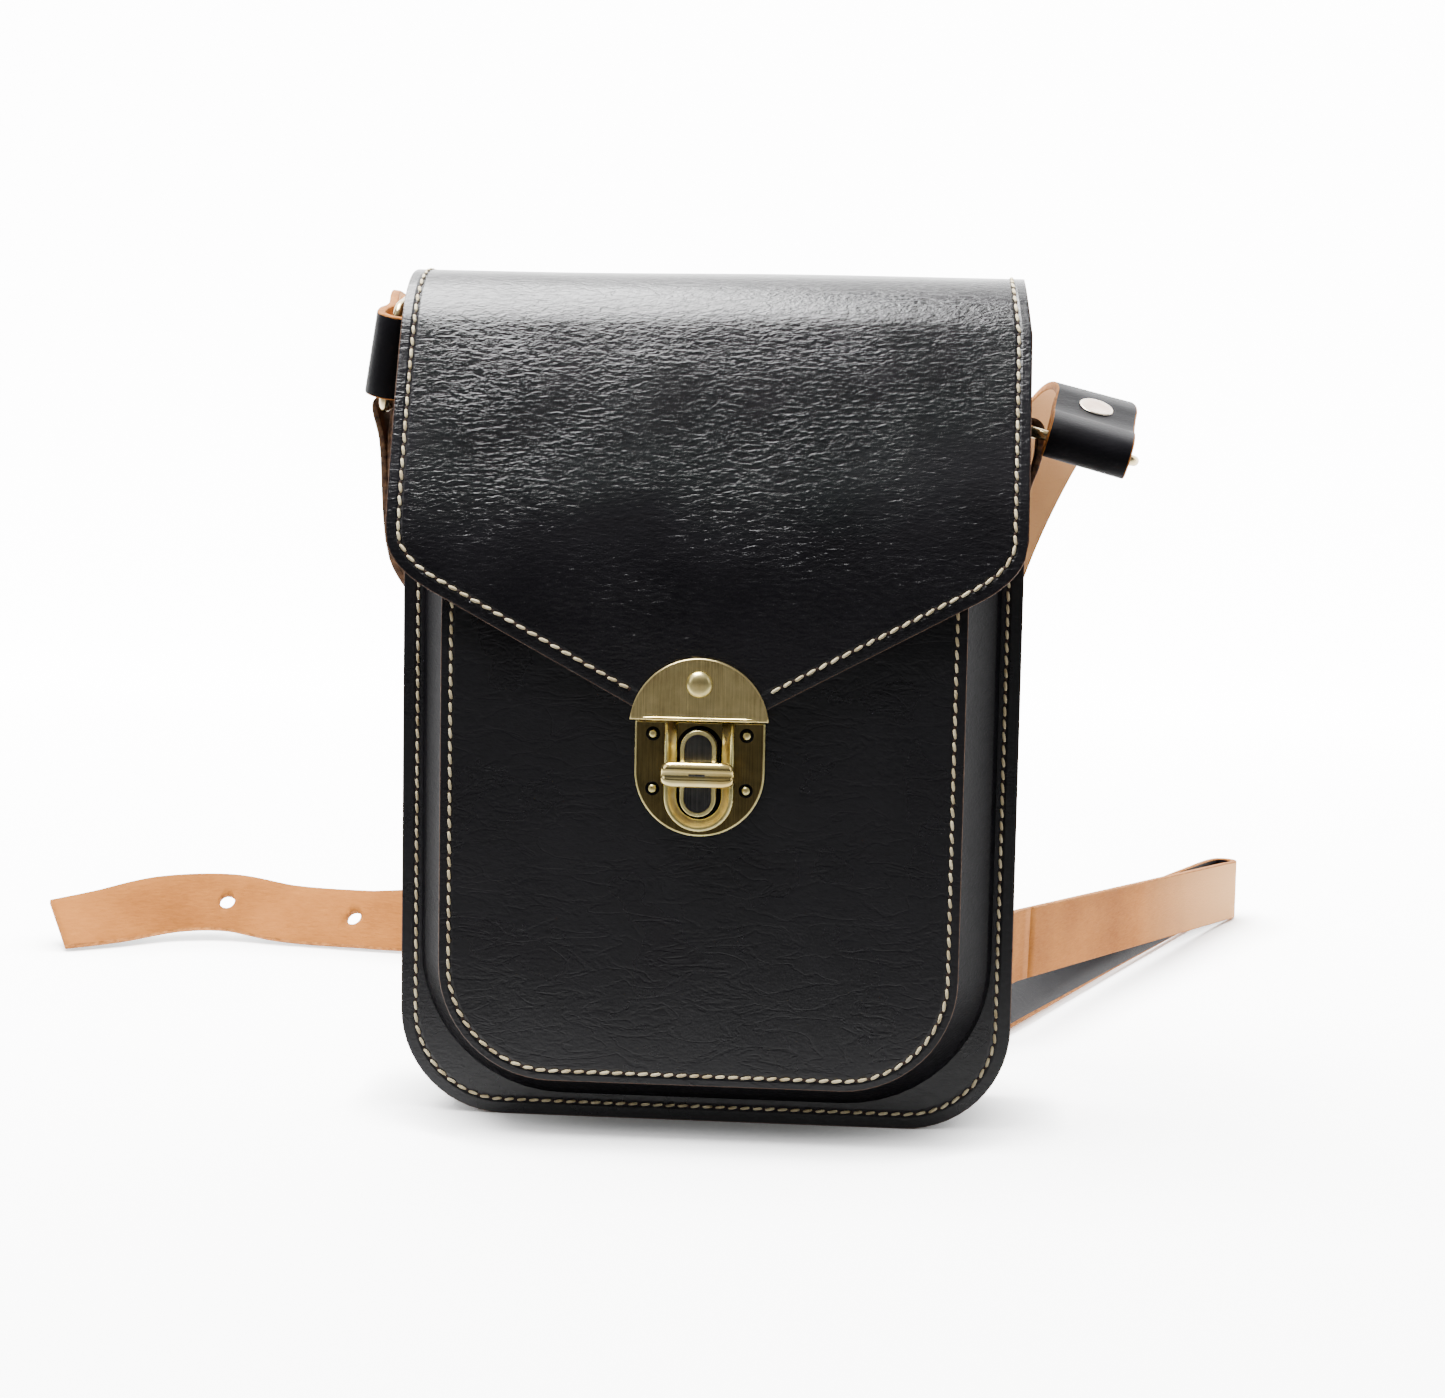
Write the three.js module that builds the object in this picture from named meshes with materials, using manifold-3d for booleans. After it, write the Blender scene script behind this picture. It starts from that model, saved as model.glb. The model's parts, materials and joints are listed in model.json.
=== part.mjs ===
// A small upright crossbody bag in stiff leather: a main compartment with a flared front pocket,
// a full-width flap closed by a turn lock, and an unbuckled two-piece strap laid out behind it.
// Millimetres. +X is the bag's right as seen from its front, +Y points to its back, +Z is up.
// The origin is on the floor under the middle of the main compartment.
import * as THREE from "three";
import { mergeVertices } from "three/addons/utils/BufferGeometryUtils.js";
import Module from "manifold-3d";

const wasm = await Module();
wasm.setup();

// ---- driving dimensions ------------------------------------------------------------------------
const LEATHER = 2.0; // panel leather
const LINING = 1.0;
const GAP = 0.3; // between pieces that lie on each other

const BODY_HALF_WIDTH = 88;
const BODY_HEIGHT = 236;
const BODY_CORNER = 30;
const BODY_FRONT_Y = -22.5; // outer face of the front panel
const BODY_BACK_Y = 22.5; // outer face of the back panel
const FRONT_PANEL_HEIGHT = 224;
const GUSSET_INSET = 5; // the panels' edges stand this far out past the gusset wall
const GUSSET_HEIGHT = 222;
const GUSSET_FLAT = 12; // half depth of the gusset's flat underside, which rests on the floor

const POCKET_FRONT_Y = -47.5;
const POCKET_HALF_WIDTH = 72.5;
const POCKET_BOTTOM = 16.4;
const POCKET_TOP = 176;
// Outer face of the pocket front from its top edge down, as (y, z): the top leans in under the flap.
const POCKET_PROFILE = [
  [-42, 176], [-45.3, 162], [-47, 150], [-47.5, 138], [-47.5, 100], [-47.5, 60], [-47.5, 10],
];
const POCKET_CORNER = 32;
const POCKET_FLARE_SIDE = 9.5; // how much wider each side of the pocket is where it meets the bag
const POCKET_FLARE_BOTTOM = 10.6;

const FLAP_HALF_WIDTH = 88.2;
const FLAP_TAPER = 2; // the right side draws in by this much over the roll
const FLAP_TAPER_Z = [200, 240];
const FLAP_SIDE_END = 170; // height at which the flap's straight side edge ends
const FLAP_SHOULDER = new THREE.Vector2(76, 153.7);
const FLAP_TIP = new THREE.Vector2(15, 121);
// Outer face of the flap, from the back top edge over the roll and down the front, as (y, z).
const FLAP_PROFILE = [
  [20.5, 239.6], [14, 242.2], [4, 243.2], [-5, 243], [-13, 241], [-20, 236.6],
  [-25.6, 230], [-30.5, 220], [-35.5, 208], [-41, 193], [-46, 178], [-49.6, 162],
  [-51.2, 146], [-51.4, 119],
];
const FLAP_BACK_AXIS = [21.5, 237.5]; // (y, z) where the flap bends at the back
const FLAP_FRONT_AXIS = [-22, 232.6]; // (y, z) where the flap bends over the front
const FLAP_HINGE_CLEARANCE = 2.6; // bare radius round each bend line

const LOCK_Z = 104.9; // centre of the lock's round end and of its knob
const LOCK_HALF_WIDTH = 18;
const LOCK_TOP = 118.9;
const LOCK_PLATE = 1.5;
const COVER_HALF_WIDTH = 19.1;
const COVER_BOTTOM = 119.3;
const COVER_HEIGHT = 17.2;
const COVER_THICKNESS = 1.8;
const LOOP_OUTER = 9.6; // half width of the U-shaped loop
const LOOP_INNER = 6.1;
const LOOP_BOTTOM = 88.5;
const LOOP_THICKNESS = 1.7;
const BOSS_HALF_WIDTH = 4.9;
const BOSS_HEIGHT = 23.8;
const BOSS_DEPTH = 4.1;
const KNOB_LENGTH = 20.3;
const KNOB_BAR_RADIUS = 1.85;
const KNOB_SHAFT_RADIUS = 2;
const NAIL_RADIUS = 0.95;
const NAIL_X = 12.9;
const NAIL_HEIGHTS = [100, 115.2];
const HASP_RIVET_Z = 129.4;
const HASP_RIVET_RADIUS = 3.65;
const HASP_RIVET_DOME = 1.8;
const HASP_SHANK_RADIUS = 1.4;
const HASP_WASHER_RADIUS = 3; // set into a hole in the lining

const RING_SIDE = 30; // between wire centres
const RING_CORNER = 4;
const RING_WIRE = 1.5;
const RING_PLAY = 0.5; // between a ring's bar and the tab round it
const TAB_WIDTH = 17;
const TAB_LEATHER = 2;
const TAB_BOTTOM = 137;
const LEFT_BAR = [-96.8, 205]; // (x, z) of the middle of the ring bar held by the left tab
const RIGHT_BAR = [89.2, 199.8];
const LEFT_RING_TILT = 11; // degrees that the upright left ring leans in over the bag
const LEFT_RING_LEAN = 12; // degrees that it leans forwards
const LEFT_RING_SLIDE = 3.5; // how far it has slid back along its bar
const RIGHT_RING_DROP = 105; // degrees that the right ring has fallen outwards from upright

const STRAP_WIDTH = 24;
const STRAP_THICKNESS = 2.6;
const STRAP_LOOP_RADIUS = 4.6; // strap centre line round a ring's front leg
const STRAP_OUT = 16.35; // from a ring's bar to the middle of the strap
const LEFT_STRAP_TURN = 10; // degrees that the left strap turns out past the ring's rear leg
const RIGHT_STRAP_RISE = 25; // degrees that the right strap climbs over its ring's rear leg
const STRAP_JOINT_GAP = 2.9; // bare length between two strap pieces at a bend
const HOLE_RADIUS = 3;
const HOLE_PITCH = 53;
const FIRST_HOLE = 66; // from the tongue's end
const HOLES = 3;
const RIVET_HEAD = 4.5; // radius
const RIVET_SHANK = 1.8;

const BUCKLE_BAR = new THREE.Vector3(0, 64, 5.4);
const BUCKLE_LENGTH = 25;
const BUCKLE_WIDTH = 31;
const BUCKLE_WIRE = 1.7;
const PRONG_RADIUS = 1.3;
const BUCKLE_RIVET_X = 15;
const BUCKLE_RIVET_SHANK = 1.3;
const KEEPER_X = 34;
const KEEPER_LENGTH = 9;
const KEEPER_LEATHER = 1.7;
const FLOOR_STRAP_Z = 4.02; // centre of the strap where it lies in the keeper

// ---- materials -----------------------------------------------------------------------------------
const paint = (color, roughness, metalness = 0) => () =>
  new THREE.MeshStandardMaterial({ color, roughness, metalness });
const blackLeather = paint(0x17161a, 0.45);
const tanLeather = paint(0xc08a5a, 0.85);
const antiqueBrass = paint(0xa08a4c, 0.42, 1);
const polishedBrass = paint(0xd8bd72, 0.2, 1);
const darkInlay = paint(0x3a3a3c, 0.5, 0.3);
const paleMetal = paint(0xcdb9a4, 0.35, 0.9);

// ---- solids --------------------------------------------------------------------------------------
const radians = THREE.MathUtils.degToRad;
const X_AXIS = new THREE.Vector3(1, 0, 0);

function solidOf(geometry) {
  const bare = geometry.clone();
  bare.deleteAttribute("normal");
  bare.deleteAttribute("uv");
  const merged = mergeVertices(bare, 1e-4);
  const vertProperties = merged.attributes.position.array;
  const triVerts = new Uint32Array(merged.index.array);
  return new wasm.Manifold(new wasm.Mesh({ numProp: 3, vertProperties, triVerts }));
}

function geometryOf(solid) {
  const mesh = solid.getMesh();
  const geometry = new THREE.BufferGeometry();
  const corners = new Float32Array(mesh.vertProperties);
  geometry.setAttribute("position", new THREE.BufferAttribute(corners, 3));
  geometry.setIndex(new THREE.BufferAttribute(new Uint32Array(mesh.triVerts), 1));
  const flat = geometry.toNonIndexed();
  flat.computeVertexNormals();
  return flat;
}

const cut = (a, ...tools) =>
  geometryOf(tools.reduce((left, tool) => left.subtract(solidOf(tool)), solidOf(a)));
const join = (a, ...others) =>
  geometryOf(others.reduce((sum, other) => sum.add(solidOf(other)), solidOf(a)));
const common = (a, b) => geometryOf(solidOf(a).intersect(solidOf(b)));

// A closed skin through rings of points; each ring is a convex loop of Vector3.
function loft(rings, closed = false) {
  const count = rings[0].length;
  const positions = rings.flat().flatMap((p) => p.toArray());
  const index = [];
  const spans = closed ? rings.length : rings.length - 1;
  for (let i = 0; i < spans; i++) {
    const next = (i + 1) % rings.length;
    for (let k = 0; k < count; k++) {
      const m = (k + 1) % count;
      const [a, b] = [i * count + k, i * count + m];
      const [c, d] = [next * count + k, next * count + m];
      index.push(a, c, b, b, c, d);
    }
  }
  if (!closed) {
    const last = (rings.length - 1) * count;
    for (let k = 1; k + 1 < count; k++) {
      index.push(0, k, k + 1);
      index.push(last, last + k + 1, last + k);
    }
  }
  const geometry = new THREE.BufferGeometry();
  geometry.setAttribute("position", new THREE.Float32BufferAttribute(positions, 3));
  geometry.setIndex(index);
  if (solidOf(geometry).volume() < 0) geometry.index.array.reverse();
  return geometry;
}

// A flat plate whose outline is drawn in X and Z, from yBack forwards (towards -Y) by its thickness.
function plate(shape, yBack, thickness) {
  const geometry = new THREE.ExtrudeGeometry(shape, {
    depth: thickness,
    bevelEnabled: false,
    curveSegments: 8,
  });
  return geometry.rotateX(Math.PI / 2).translate(0, yBack, 0);
}

// A round rod along Y between two depths.
function rodY(x, z, radius, y0, y1, sides = 16) {
  const geometry = new THREE.CylinderGeometry(radius, radius, Math.abs(y1 - y0), sides);
  return geometry.translate(x, 0, 0).translate(0, (y0 + y1) / 2, z);
}

// The U of a panel's edge: down one side, round both bottom corners and up the other, as [x, z].
// `stops` are extra heights on the straight sides, from the top down.
function uPath(halfWidth, bottom, top, corner, stops = [], steps = 8) {
  const right = [top, ...stops].map((z) => [halfWidth, z]);
  for (let i = 0; i <= steps; i++) {
    const a = (i / steps) * (Math.PI / 2);
    const x = halfWidth - corner + corner * Math.cos(a);
    right.push([x, bottom + corner - corner * Math.sin(a)]);
  }
  const left = right.map(([x, z]) => [-x, z]).reverse();
  return [...right, ...left];
}

const outline = (path) => new THREE.Shape(path.map(([x, z]) => new THREE.Vector2(x, z)));

// A channel of leather between two U paths, the wall of a gusset; yFront gives its front edge by
// height.
function channel(front, frontInner, back, backInner, yFront, yBack) {
  const rings = front.map((p, i) => [
    new THREE.Vector3(p[0], yFront(p[1]), p[1]),
    new THREE.Vector3(back[i][0], yBack, back[i][1]),
    new THREE.Vector3(backInner[i][0], yBack, backInner[i][1]),
    new THREE.Vector3(frontInner[i][0], yFront(p[1]), frontInner[i][1]),
  ]);
  return loft(rings);
}

// A sheet that follows a profile of (y, z) points, between two depths under its outer face.
function sheet(profile, halfWidth, depthOut, depthIn, count = 28) {
  const points = profile.map(([y, z]) => new THREE.Vector3(0, y, z));
  const curve = new THREE.CatmullRomCurve3(points, false, "centripetal");
  const rings = [];
  for (let i = 0; i <= count; i++) {
    const p = curve.getPoint(i / count);
    const along = curve.getTangent(i / count);
    const inward = new THREE.Vector3(0, -along.z, along.y);
    const at = (x, depth) => p.clone().addScaledVector(inward, depth).setX(x);
    rings.push([
      at(-halfWidth, depthOut),
      at(halfWidth, depthOut),
      at(halfWidth, depthIn),
      at(-halfWidth, depthIn),
    ]);
  }
  return loft(rings);
}

// A wire along a loop of Vector3, closed on itself; `up` is a direction never along the wire.
function wireLoop(points, radius, up, sides = 8) {
  const rings = points.map((p, i) => {
    const before = points[(i + points.length - 1) % points.length];
    const after = points[(i + 1) % points.length];
    const along = after.clone().sub(before).normalize();
    const side = new THREE.Vector3().crossVectors(up, along).normalize();
    return Array.from({ length: sides }, (_, k) => {
      const a = (k / sides) * 2 * Math.PI;
      return p.clone()
        .addScaledVector(side, radius * Math.cos(a))
        .addScaledVector(up, radius * Math.sin(a));
    });
  });
  return loft(rings, true);
}

// Corner-rounded rectangle from (0, -width/2) to (length, width/2), as [a, b] pairs.
function roundedLoop(length, width, corner, steps = 4) {
  const centres = [
    [length - corner, width / 2 - corner, 0],
    [corner, width / 2 - corner, 90],
    [corner, corner - width / 2, 180],
    [length - corner, corner - width / 2, 270],
  ];
  return centres.flatMap(([a, b, start]) =>
    Array.from({ length: steps + 1 }, (_, i) => {
      const angle = radians(start + (90 * i) / steps);
      return [a + corner * Math.cos(angle), b + corner * Math.sin(angle)];
    }),
  );
}

// ---- strap ribbons -------------------------------------------------------------------------------
// A ribbon of strap leather along control stations [x, y, z, wx, wy, wz]: its centre line and the
// direction of its width. The grain side is the side that (tangent x width) points to.
class Ribbon {
  constructor(stations) {
    this.curve = new THREE.CatmullRomCurve3(
      stations.map((s) => new THREE.Vector3(s[0], s[1], s[2])), false, "centripetal",
    );
    this.widths = stations.map((s) => new THREE.Vector3(s[3], s[4], s[5]).normalize());
  }

  frame(t) {
    const at = t * (this.widths.length - 1);
    const i = Math.min(Math.floor(at), this.widths.length - 2);
    const width = this.widths[i].clone().lerp(this.widths[i + 1], at - i);
    const centre = this.curve.getPoint(t);
    const along = this.curve.getTangent(t);
    width.addScaledVector(along, -width.dot(along)).normalize();
    const grain = new THREE.Vector3().crossVectors(along, width);
    return { centre, along, width, grain };
  }

  // The parameter at a distance along the curve from parameter t (negative goes back).
  step(t, distance) {
    let left = Math.abs(distance);
    const sign = Math.sign(distance);
    let here = this.curve.getPoint(t);
    const STEP = 1 / 4000;
    while (left > 0 && t >= 0 && t <= 1) {
      t += sign * STEP;
      const next = this.curve.getPoint(THREE.MathUtils.clamp(t, 0, 1));
      left -= next.distanceTo(here);
      here = next;
    }
    return THREE.MathUtils.clamp(t, 0, 1);
  }

  solid(from = 0, to = 1, perStation = 3) {
    const count = Math.max(4, Math.round((to - from) * (this.widths.length - 1) * perStation));
    const [w, h] = [STRAP_WIDTH / 2, STRAP_THICKNESS / 2];
    const rings = [];
    for (let i = 0; i <= count; i++) {
      const f = this.frame(from + ((to - from) * i) / count);
      const at = (a, b) => f.centre.clone().addScaledVector(f.width, a).addScaledVector(f.grain, b);
      rings.push([at(w, h), at(-w, h), at(-w, -h), at(w, -h)]);
    }
    return loft(rings);
  }
}

// A rod through a ribbon along its grain direction at parameter t.
function pinThrough(ribbon, t, radius, below, above, sides = 14) {
  const f = ribbon.frame(t);
  const geometry = new THREE.CylinderGeometry(radius, radius, below + above, sides);
  geometry.translate(0, (above - below) / 2, 0);
  const turn = new THREE.Matrix4().makeBasis(f.width, f.grain, f.width.clone().cross(f.grain));
  turn.setPosition(f.centre);
  return geometry.applyMatrix4(turn);
}

// A ring's frame: from its bar out along its legs, along its bar, and square to both.
function ringFrame([barX, barZ], degreesFromUpright, lean = 0) {
  const a = radians(degreesFromUpright);
  const turned = (x, y, z) => new THREE.Vector3(x, y, z).applyAxisAngle(X_AXIS, radians(lean));
  return {
    centre: new THREE.Vector3(barX, 0, barZ),
    out: turned(Math.sin(a), 0, Math.cos(a)),
    bar: turned(0, 1, 0),
    side: turned(-Math.cos(a), 0, Math.sin(a)),
  };
}

const leftRing = ringFrame(LEFT_BAR, LEFT_RING_TILT, LEFT_RING_LEAN);
const rightRing = ringFrame(RIGHT_BAR, RIGHT_RING_DROP);

const HALF_TURN = [0, 30, 60, 90, 120, 150, 180];
// The two layers riveted behind a ring's front leg: [distance from the leg, offset to each side].
const LOOP_LAYERS = [[6, 4], [11, 2.4], [16, 1.65], [22, 1.6], [29, 1.6]];
const RIVETED = 3; // which of those stations carries the rivet
const LOOP_STATIONS = LOOP_LAYERS.length + HALF_TURN.length;

// Stations from a strap's riveted end round a ring's front leg and back along its long layer. The
// layers turn away from the ring's plane by an angle, so that they pass its rear leg.
function strapLoop(ring, slide, degreesFromPlane) {
  const turn = radians(degreesFromPlane);
  const { bar, side } = ring;
  const back = bar.clone().multiplyScalar(Math.cos(turn)).addScaledVector(side, Math.sin(turn));
  const lift = side.clone().multiplyScalar(Math.cos(turn)).addScaledVector(bar, -Math.sin(turn));
  const leg = ring.centre.clone()
    .addScaledVector(ring.out, STRAP_OUT)
    .addScaledVector(ring.bar, slide - RING_SIDE / 2);
  const at = (along, off) => {
    const p = leg.clone().addScaledVector(back, along).addScaledVector(lift, off);
    return [...p.toArray(), ...ring.out.clone().negate().toArray()];
  };
  const round = HALF_TURN.map((deg) => {
    const a = radians(-90 - deg);
    return at(STRAP_LOOP_RADIUS * Math.cos(a), STRAP_LOOP_RADIUS * Math.sin(a));
  });
  return [
    ...LOOP_LAYERS.map(([along, off]) => at(along, -off)).reverse(),
    ...round,
    ...LOOP_LAYERS.map(([along, off]) => at(along, off)),
  ];
}

// Left strap after its loop: down behind the bag, then out to the left as the punched tongue.
const LEFT_HANG = [
  [-103, 34, 227, -0.15, 0.1, -1],
  [-101.5, 52, 222, -0.15, 0, -1],
  [-96, 70, 209, -0.4, 0, -0.9],
  [-87, 87, 186, -0.85, 0, -0.5],
  [-78, 94, 150, -1, 0, 0.1],
  [-71, 98, 105, -1, 0, 0],
  [-66, 104, 62, -1, 0, 0],
  [-62, 120, 30, -1, 0, 0],
  [-61, 148, 15.5, -0.9, 0, 0.4],
  [-68, 176, 13.5, -0.55, -0.3, 0.8],
];
const LEFT_FLOOR = [
  [-90, 197, 13.6, -0.1, 0, 1],
  [-120, 206, 13.2, 0, 0.3, 0.95],
  [-150, 213, 11.2, 0, 0.62, 0.78],
  [-182, 219, 11.2, 0, 0.62, 0.78],
  [-206, 223, 13.5, 0, 0.6, 0.8],
  [-228, 218, 13.2, 0, 0.62, 0.78],
  [-248, 203, 10.4, -0.22, 0.66, 0.7],
  [-264, 193, 9, -0.4, 0.68, 0.6],
];
const TONGUE_LIFTS = [0.6, 0.6, 0.6, 0.8, 3.4, 3, 1.2, 0.6]; // of its lower edge from the floor

function leftStrap() {
  const stations = [
    ...strapLoop(leftRing, LEFT_RING_SLIDE, LEFT_STRAP_TURN),
    ...LEFT_HANG,
    ...LEFT_FLOOR.map((s) => [...s]),
  ];
  const draft = new Ribbon(stations);
  // The tongue stands on its lower edge: each station is raised to the floor plus a lift.
  TONGUE_LIFTS.forEach((clear, i) => {
    const k = stations.length - TONGUE_LIFTS.length + i;
    const f = draft.frame(k / (stations.length - 1));
    const tall = STRAP_WIDTH * Math.abs(f.width.z) + STRAP_THICKNESS * Math.abs(f.grain.z);
    stations[k][2] = clear + tall / 2;
  });
  return { ribbon: new Ribbon(stations), bend: stations.length - LEFT_FLOOR.length };
}

// Right strap after its loop: down behind the bag, out to the right on its edge, round a fold and back
// under itself, ending at the buckle.
const FLOOR_START = new THREE.Vector3(92, 105, 0);
const FLOOR_RUN = new THREE.Vector3(0.395, 0.919, 0).normalize();
const FLOOR_SIDE = new THREE.Vector3(-FLOOR_RUN.y, FLOOR_RUN.x, 0);
const RUN_LENGTH = 252; // from FLOOR_START to the fold
const RUN_LIFT = 17; // how high the outgoing strand's lower edge is at FLOOR_START
const RUN_STATIONS = [-6, 6, 70, 130, 190, 236]; // distances from FLOOR_START
const FOLD_RADIUS = 4.6;
const FLOOR_GAP = 0.6; // under a strap's lower edge
const RIGHT_HANG = [
  [107.5, 22, 210.8, -0.97, 0, 0.24],
  [104.5, 38, 209, -0.97, 0, 0.24],
  [99, 54, 201.5, -0.97, 0, 0.2],
  [92, 66, 188, -0.96, 0, 0.25],
  [82.5, 74, 165, -0.94, 0, 0.3],
  [73, 77, 134, -0.97, 0, 0.2],
  [67, 78, 96, -1, 0, 0.05],
  [66.5, 79, 66, -1, 0, -0.05],
  [69, 81, 47, -0.85, 0, -0.5],
  [77, 88, 35.5, -0.4, 0, -0.9],
];
// The returning strand leans back more and more until it lies flat: [distance, lean in degrees].
const RETURN_LEANS = [[220, 8], [180, 18], [135, 30], [90, 41], [45, 51], [0, 62], [-26, 80]];
// From there it lies flat to the buckle's bar, as [x, y, z] and the direction of its width.
const BUCKLE_END = [
  [57, 70, 3.6, 0.3, -1, 0],
  [46, 65, 4, 0, -1, 0],
  [38, 64, 4, 0, -1, 0],
  [31, 64, 4, 0, -1, 0],
  [24, 64, 4.2, 0, -1, 0],
  [18, 64, 5, 0, -1, 0],
  [12, 64, 6.2, 0, -1, 0],
  [5, 64, 8.2, 0, -1, 0],
];
const WRAP_RADIUS = 3.5; // strap centre line round the buckle's bar
const UNDER_Z = 1.9;
const UNDER_END = [5, 12, 20]; // x of the end that lies under the strap

function runStation(s) {
  const p = FLOOR_START.clone().addScaledVector(FLOOR_RUN, s);
  const z = STRAP_WIDTH / 2 + FLOOR_GAP + RUN_LIFT * (1 - s / RUN_LENGTH);
  return [p.x, p.y, z, 0, 0, -1];
}

function foldStations() {
  const centre = FLOOR_START.clone()
    .addScaledVector(FLOOR_RUN, RUN_LENGTH)
    .addScaledVector(FLOOR_SIDE, FOLD_RADIUS);
  return [0, 45, 90, 135, 180].map((deg) => {
    const a = radians(deg);
    const p = centre.clone()
      .addScaledVector(FLOOR_SIDE, -FOLD_RADIUS * Math.cos(a))
      .addScaledVector(FLOOR_RUN, FOLD_RADIUS * Math.sin(a));
    return [p.x, p.y, STRAP_WIDTH / 2 + FLOOR_GAP, 0, 0, -1];
  });
}

function returnStation([s, lean]) {
  const a = radians(lean);
  const up = new THREE.Vector3(0, 0, Math.cos(a));
  const top = FLOOR_SIDE.clone().multiplyScalar(Math.sin(a)).add(up);
  const p = FLOOR_START.clone()
    .addScaledVector(FLOOR_RUN, s)
    .addScaledVector(FLOOR_SIDE, (2 * FOLD_RADIUS * Math.max(s, 0)) / RUN_LENGTH)
    .addScaledVector(top, STRAP_WIDTH / 2);
  return [p.x, p.y, p.z + FLOOR_GAP + 1.4 * Math.sin(a), -top.x, -top.y, -top.z];
}

function rightStrap() {
  const hanging = [...strapLoop(rightRing, 0, RIGHT_STRAP_RISE), ...RIGHT_HANG];
  const run = RUN_STATIONS.map(runStation);
  const wrap = HALF_TURN.map((deg) => {
    const a = radians(90 + deg);
    const [x, z] = [WRAP_RADIUS * Math.cos(a), WRAP_RADIUS * Math.sin(a)];
    return [BUCKLE_BAR.x + x, BUCKLE_BAR.y, BUCKLE_BAR.z + z, 0, -1, 0];
  });
  const under = UNDER_END.map((x) => [x, BUCKLE_BAR.y, UNDER_Z, 0, -1, 0]);
  const stations = [
    ...hanging, ...run, ...foldStations(), ...RETURN_LEANS.map(returnStation), ...BUCKLE_END,
    ...wrap, ...under,
  ];
  return {
    ribbon: new Ribbon(stations),
    bend: hanging.length + 0.5,
    fold: hanging.length + run.length + 2,
  };
}

// ---- assembly ------------------------------------------------------------------------------------
const bag = new THREE.Group();

function add(name, geometry, material) {
  const mesh = new THREE.Mesh(geometry, material());
  mesh.name = name;
  bag.add(mesh);
  return mesh;
}

function addBody() {
  const tallOutline = outline(uPath(BODY_HALF_WIDTH, 0, BODY_HEIGHT, BODY_CORNER));
  const frontOutline = outline(uPath(BODY_HALF_WIDTH, 0, FRONT_PANEL_HEIGHT, BODY_CORNER));
  add("back_panel", plate(tallOutline, BODY_BACK_Y, LEATHER), blackLeather);
  add("front_panel", plate(frontOutline, BODY_FRONT_Y + LEATHER, LEATHER), blackLeather);
  addGusset();
}

// The main compartment's wall: straight at the sides, and sagging to the floor under the bag.
function addGusset() {
  const wall = BODY_HALF_WIDTH - GUSSET_INSET;
  const corner = BODY_CORNER - GUSSET_INSET;
  const path = (bottom, depth) => uPath(wall - depth, bottom + depth, GUSSET_HEIGHT, corner - depth);
  const [sewn, sewnInner] = [path(GUSSET_INSET, 0), path(GUSSET_INSET, LEATHER)];
  const [low, lowInner] = [path(0, 0), path(0, LEATHER)];
  const yFront = BODY_FRONT_Y + LEATHER + GAP;
  const yBack = BODY_BACK_Y - LEATHER - GAP;
  add("main_gusset", join(
    channel(sewn, sewnInner, low, lowInner, () => yFront, -GUSSET_FLAT),
    channel(low, lowInner, low, lowInner, () => -GUSSET_FLAT, GUSSET_FLAT),
    channel(low, lowInner, sewn, sewnInner, () => GUSSET_FLAT, yBack),
  ), blackLeather);
}

const nailPlaces = () => [-NAIL_X, NAIL_X].flatMap((x) => NAIL_HEIGHTS.map((z) => [x, z]));

// The lock's holes through the pocket front and the plates: four for nails and one for the shaft.
function pocketHoles() {
  const hole = (x, z, radius) => rodY(x, z, radius + GAP, POCKET_FRONT_Y - 9, BODY_FRONT_Y - 4);
  const nails = nailPlaces().map(([x, z]) => hole(x, z, NAIL_RADIUS));
  return [...nails, hole(0, LOCK_Z, KNOB_SHAFT_RADIUS)];
}

// Depth of the pocket front's outer face at a height.
function pocketFaceY(z) {
  const above = POCKET_PROFILE.findIndex((p) => p[1] <= z);
  if (above <= 0) return POCKET_PROFILE[0][0];
  const [[y1, z1], [y0, z0]] = [POCKET_PROFILE[above - 1], POCKET_PROFILE[above]];
  return y0 + ((y1 - y0) * (z - z0)) / (z1 - z0);
}

function addPocket() {
  const shape = outline(uPath(POCKET_HALF_WIDTH, POCKET_BOTTOM, POCKET_TOP + 5, POCKET_CORNER));
  const face = plate(shape, 0, 100);
  const panel = common(sheet(POCKET_PROFILE, POCKET_HALF_WIDTH + 10, 0, LEATHER, 24), face);
  add("pocket_front", cut(panel, ...pocketHoles()), blackLeather);

  const stops = POCKET_PROFILE.slice(1, 4).map((p) => p[1]);
  const lip = 1.5; // the front panel's edge stands out past the gusset
  const path = (halfWidth, bottom, corner) => uPath(halfWidth, bottom, POCKET_TOP - 1, corner, stops);
  const frontHalf = POCKET_HALF_WIDTH - lip;
  const frontBottom = POCKET_BOTTOM + lip;
  const front = path(frontHalf, frontBottom, POCKET_CORNER - lip);
  const frontInner = path(frontHalf - LEATHER, frontBottom + LEATHER, POCKET_CORNER - lip - LEATHER);
  const backHalf = POCKET_HALF_WIDTH + POCKET_FLARE_SIDE;
  const backBottom = POCKET_BOTTOM - POCKET_FLARE_BOTTOM;
  const back = path(backHalf, backBottom, POCKET_CORNER);
  const backInner = path(backHalf - LEATHER, backBottom + LEATHER, POCKET_CORNER - LEATHER);
  const yFront = (z) => pocketFaceY(z) + LEATHER + 2 * GAP;
  const wall = channel(front, frontInner, back, backInner, yFront, BODY_FRONT_Y - GAP);
  add("pocket_gusset", wall, blackLeather);
}

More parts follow.
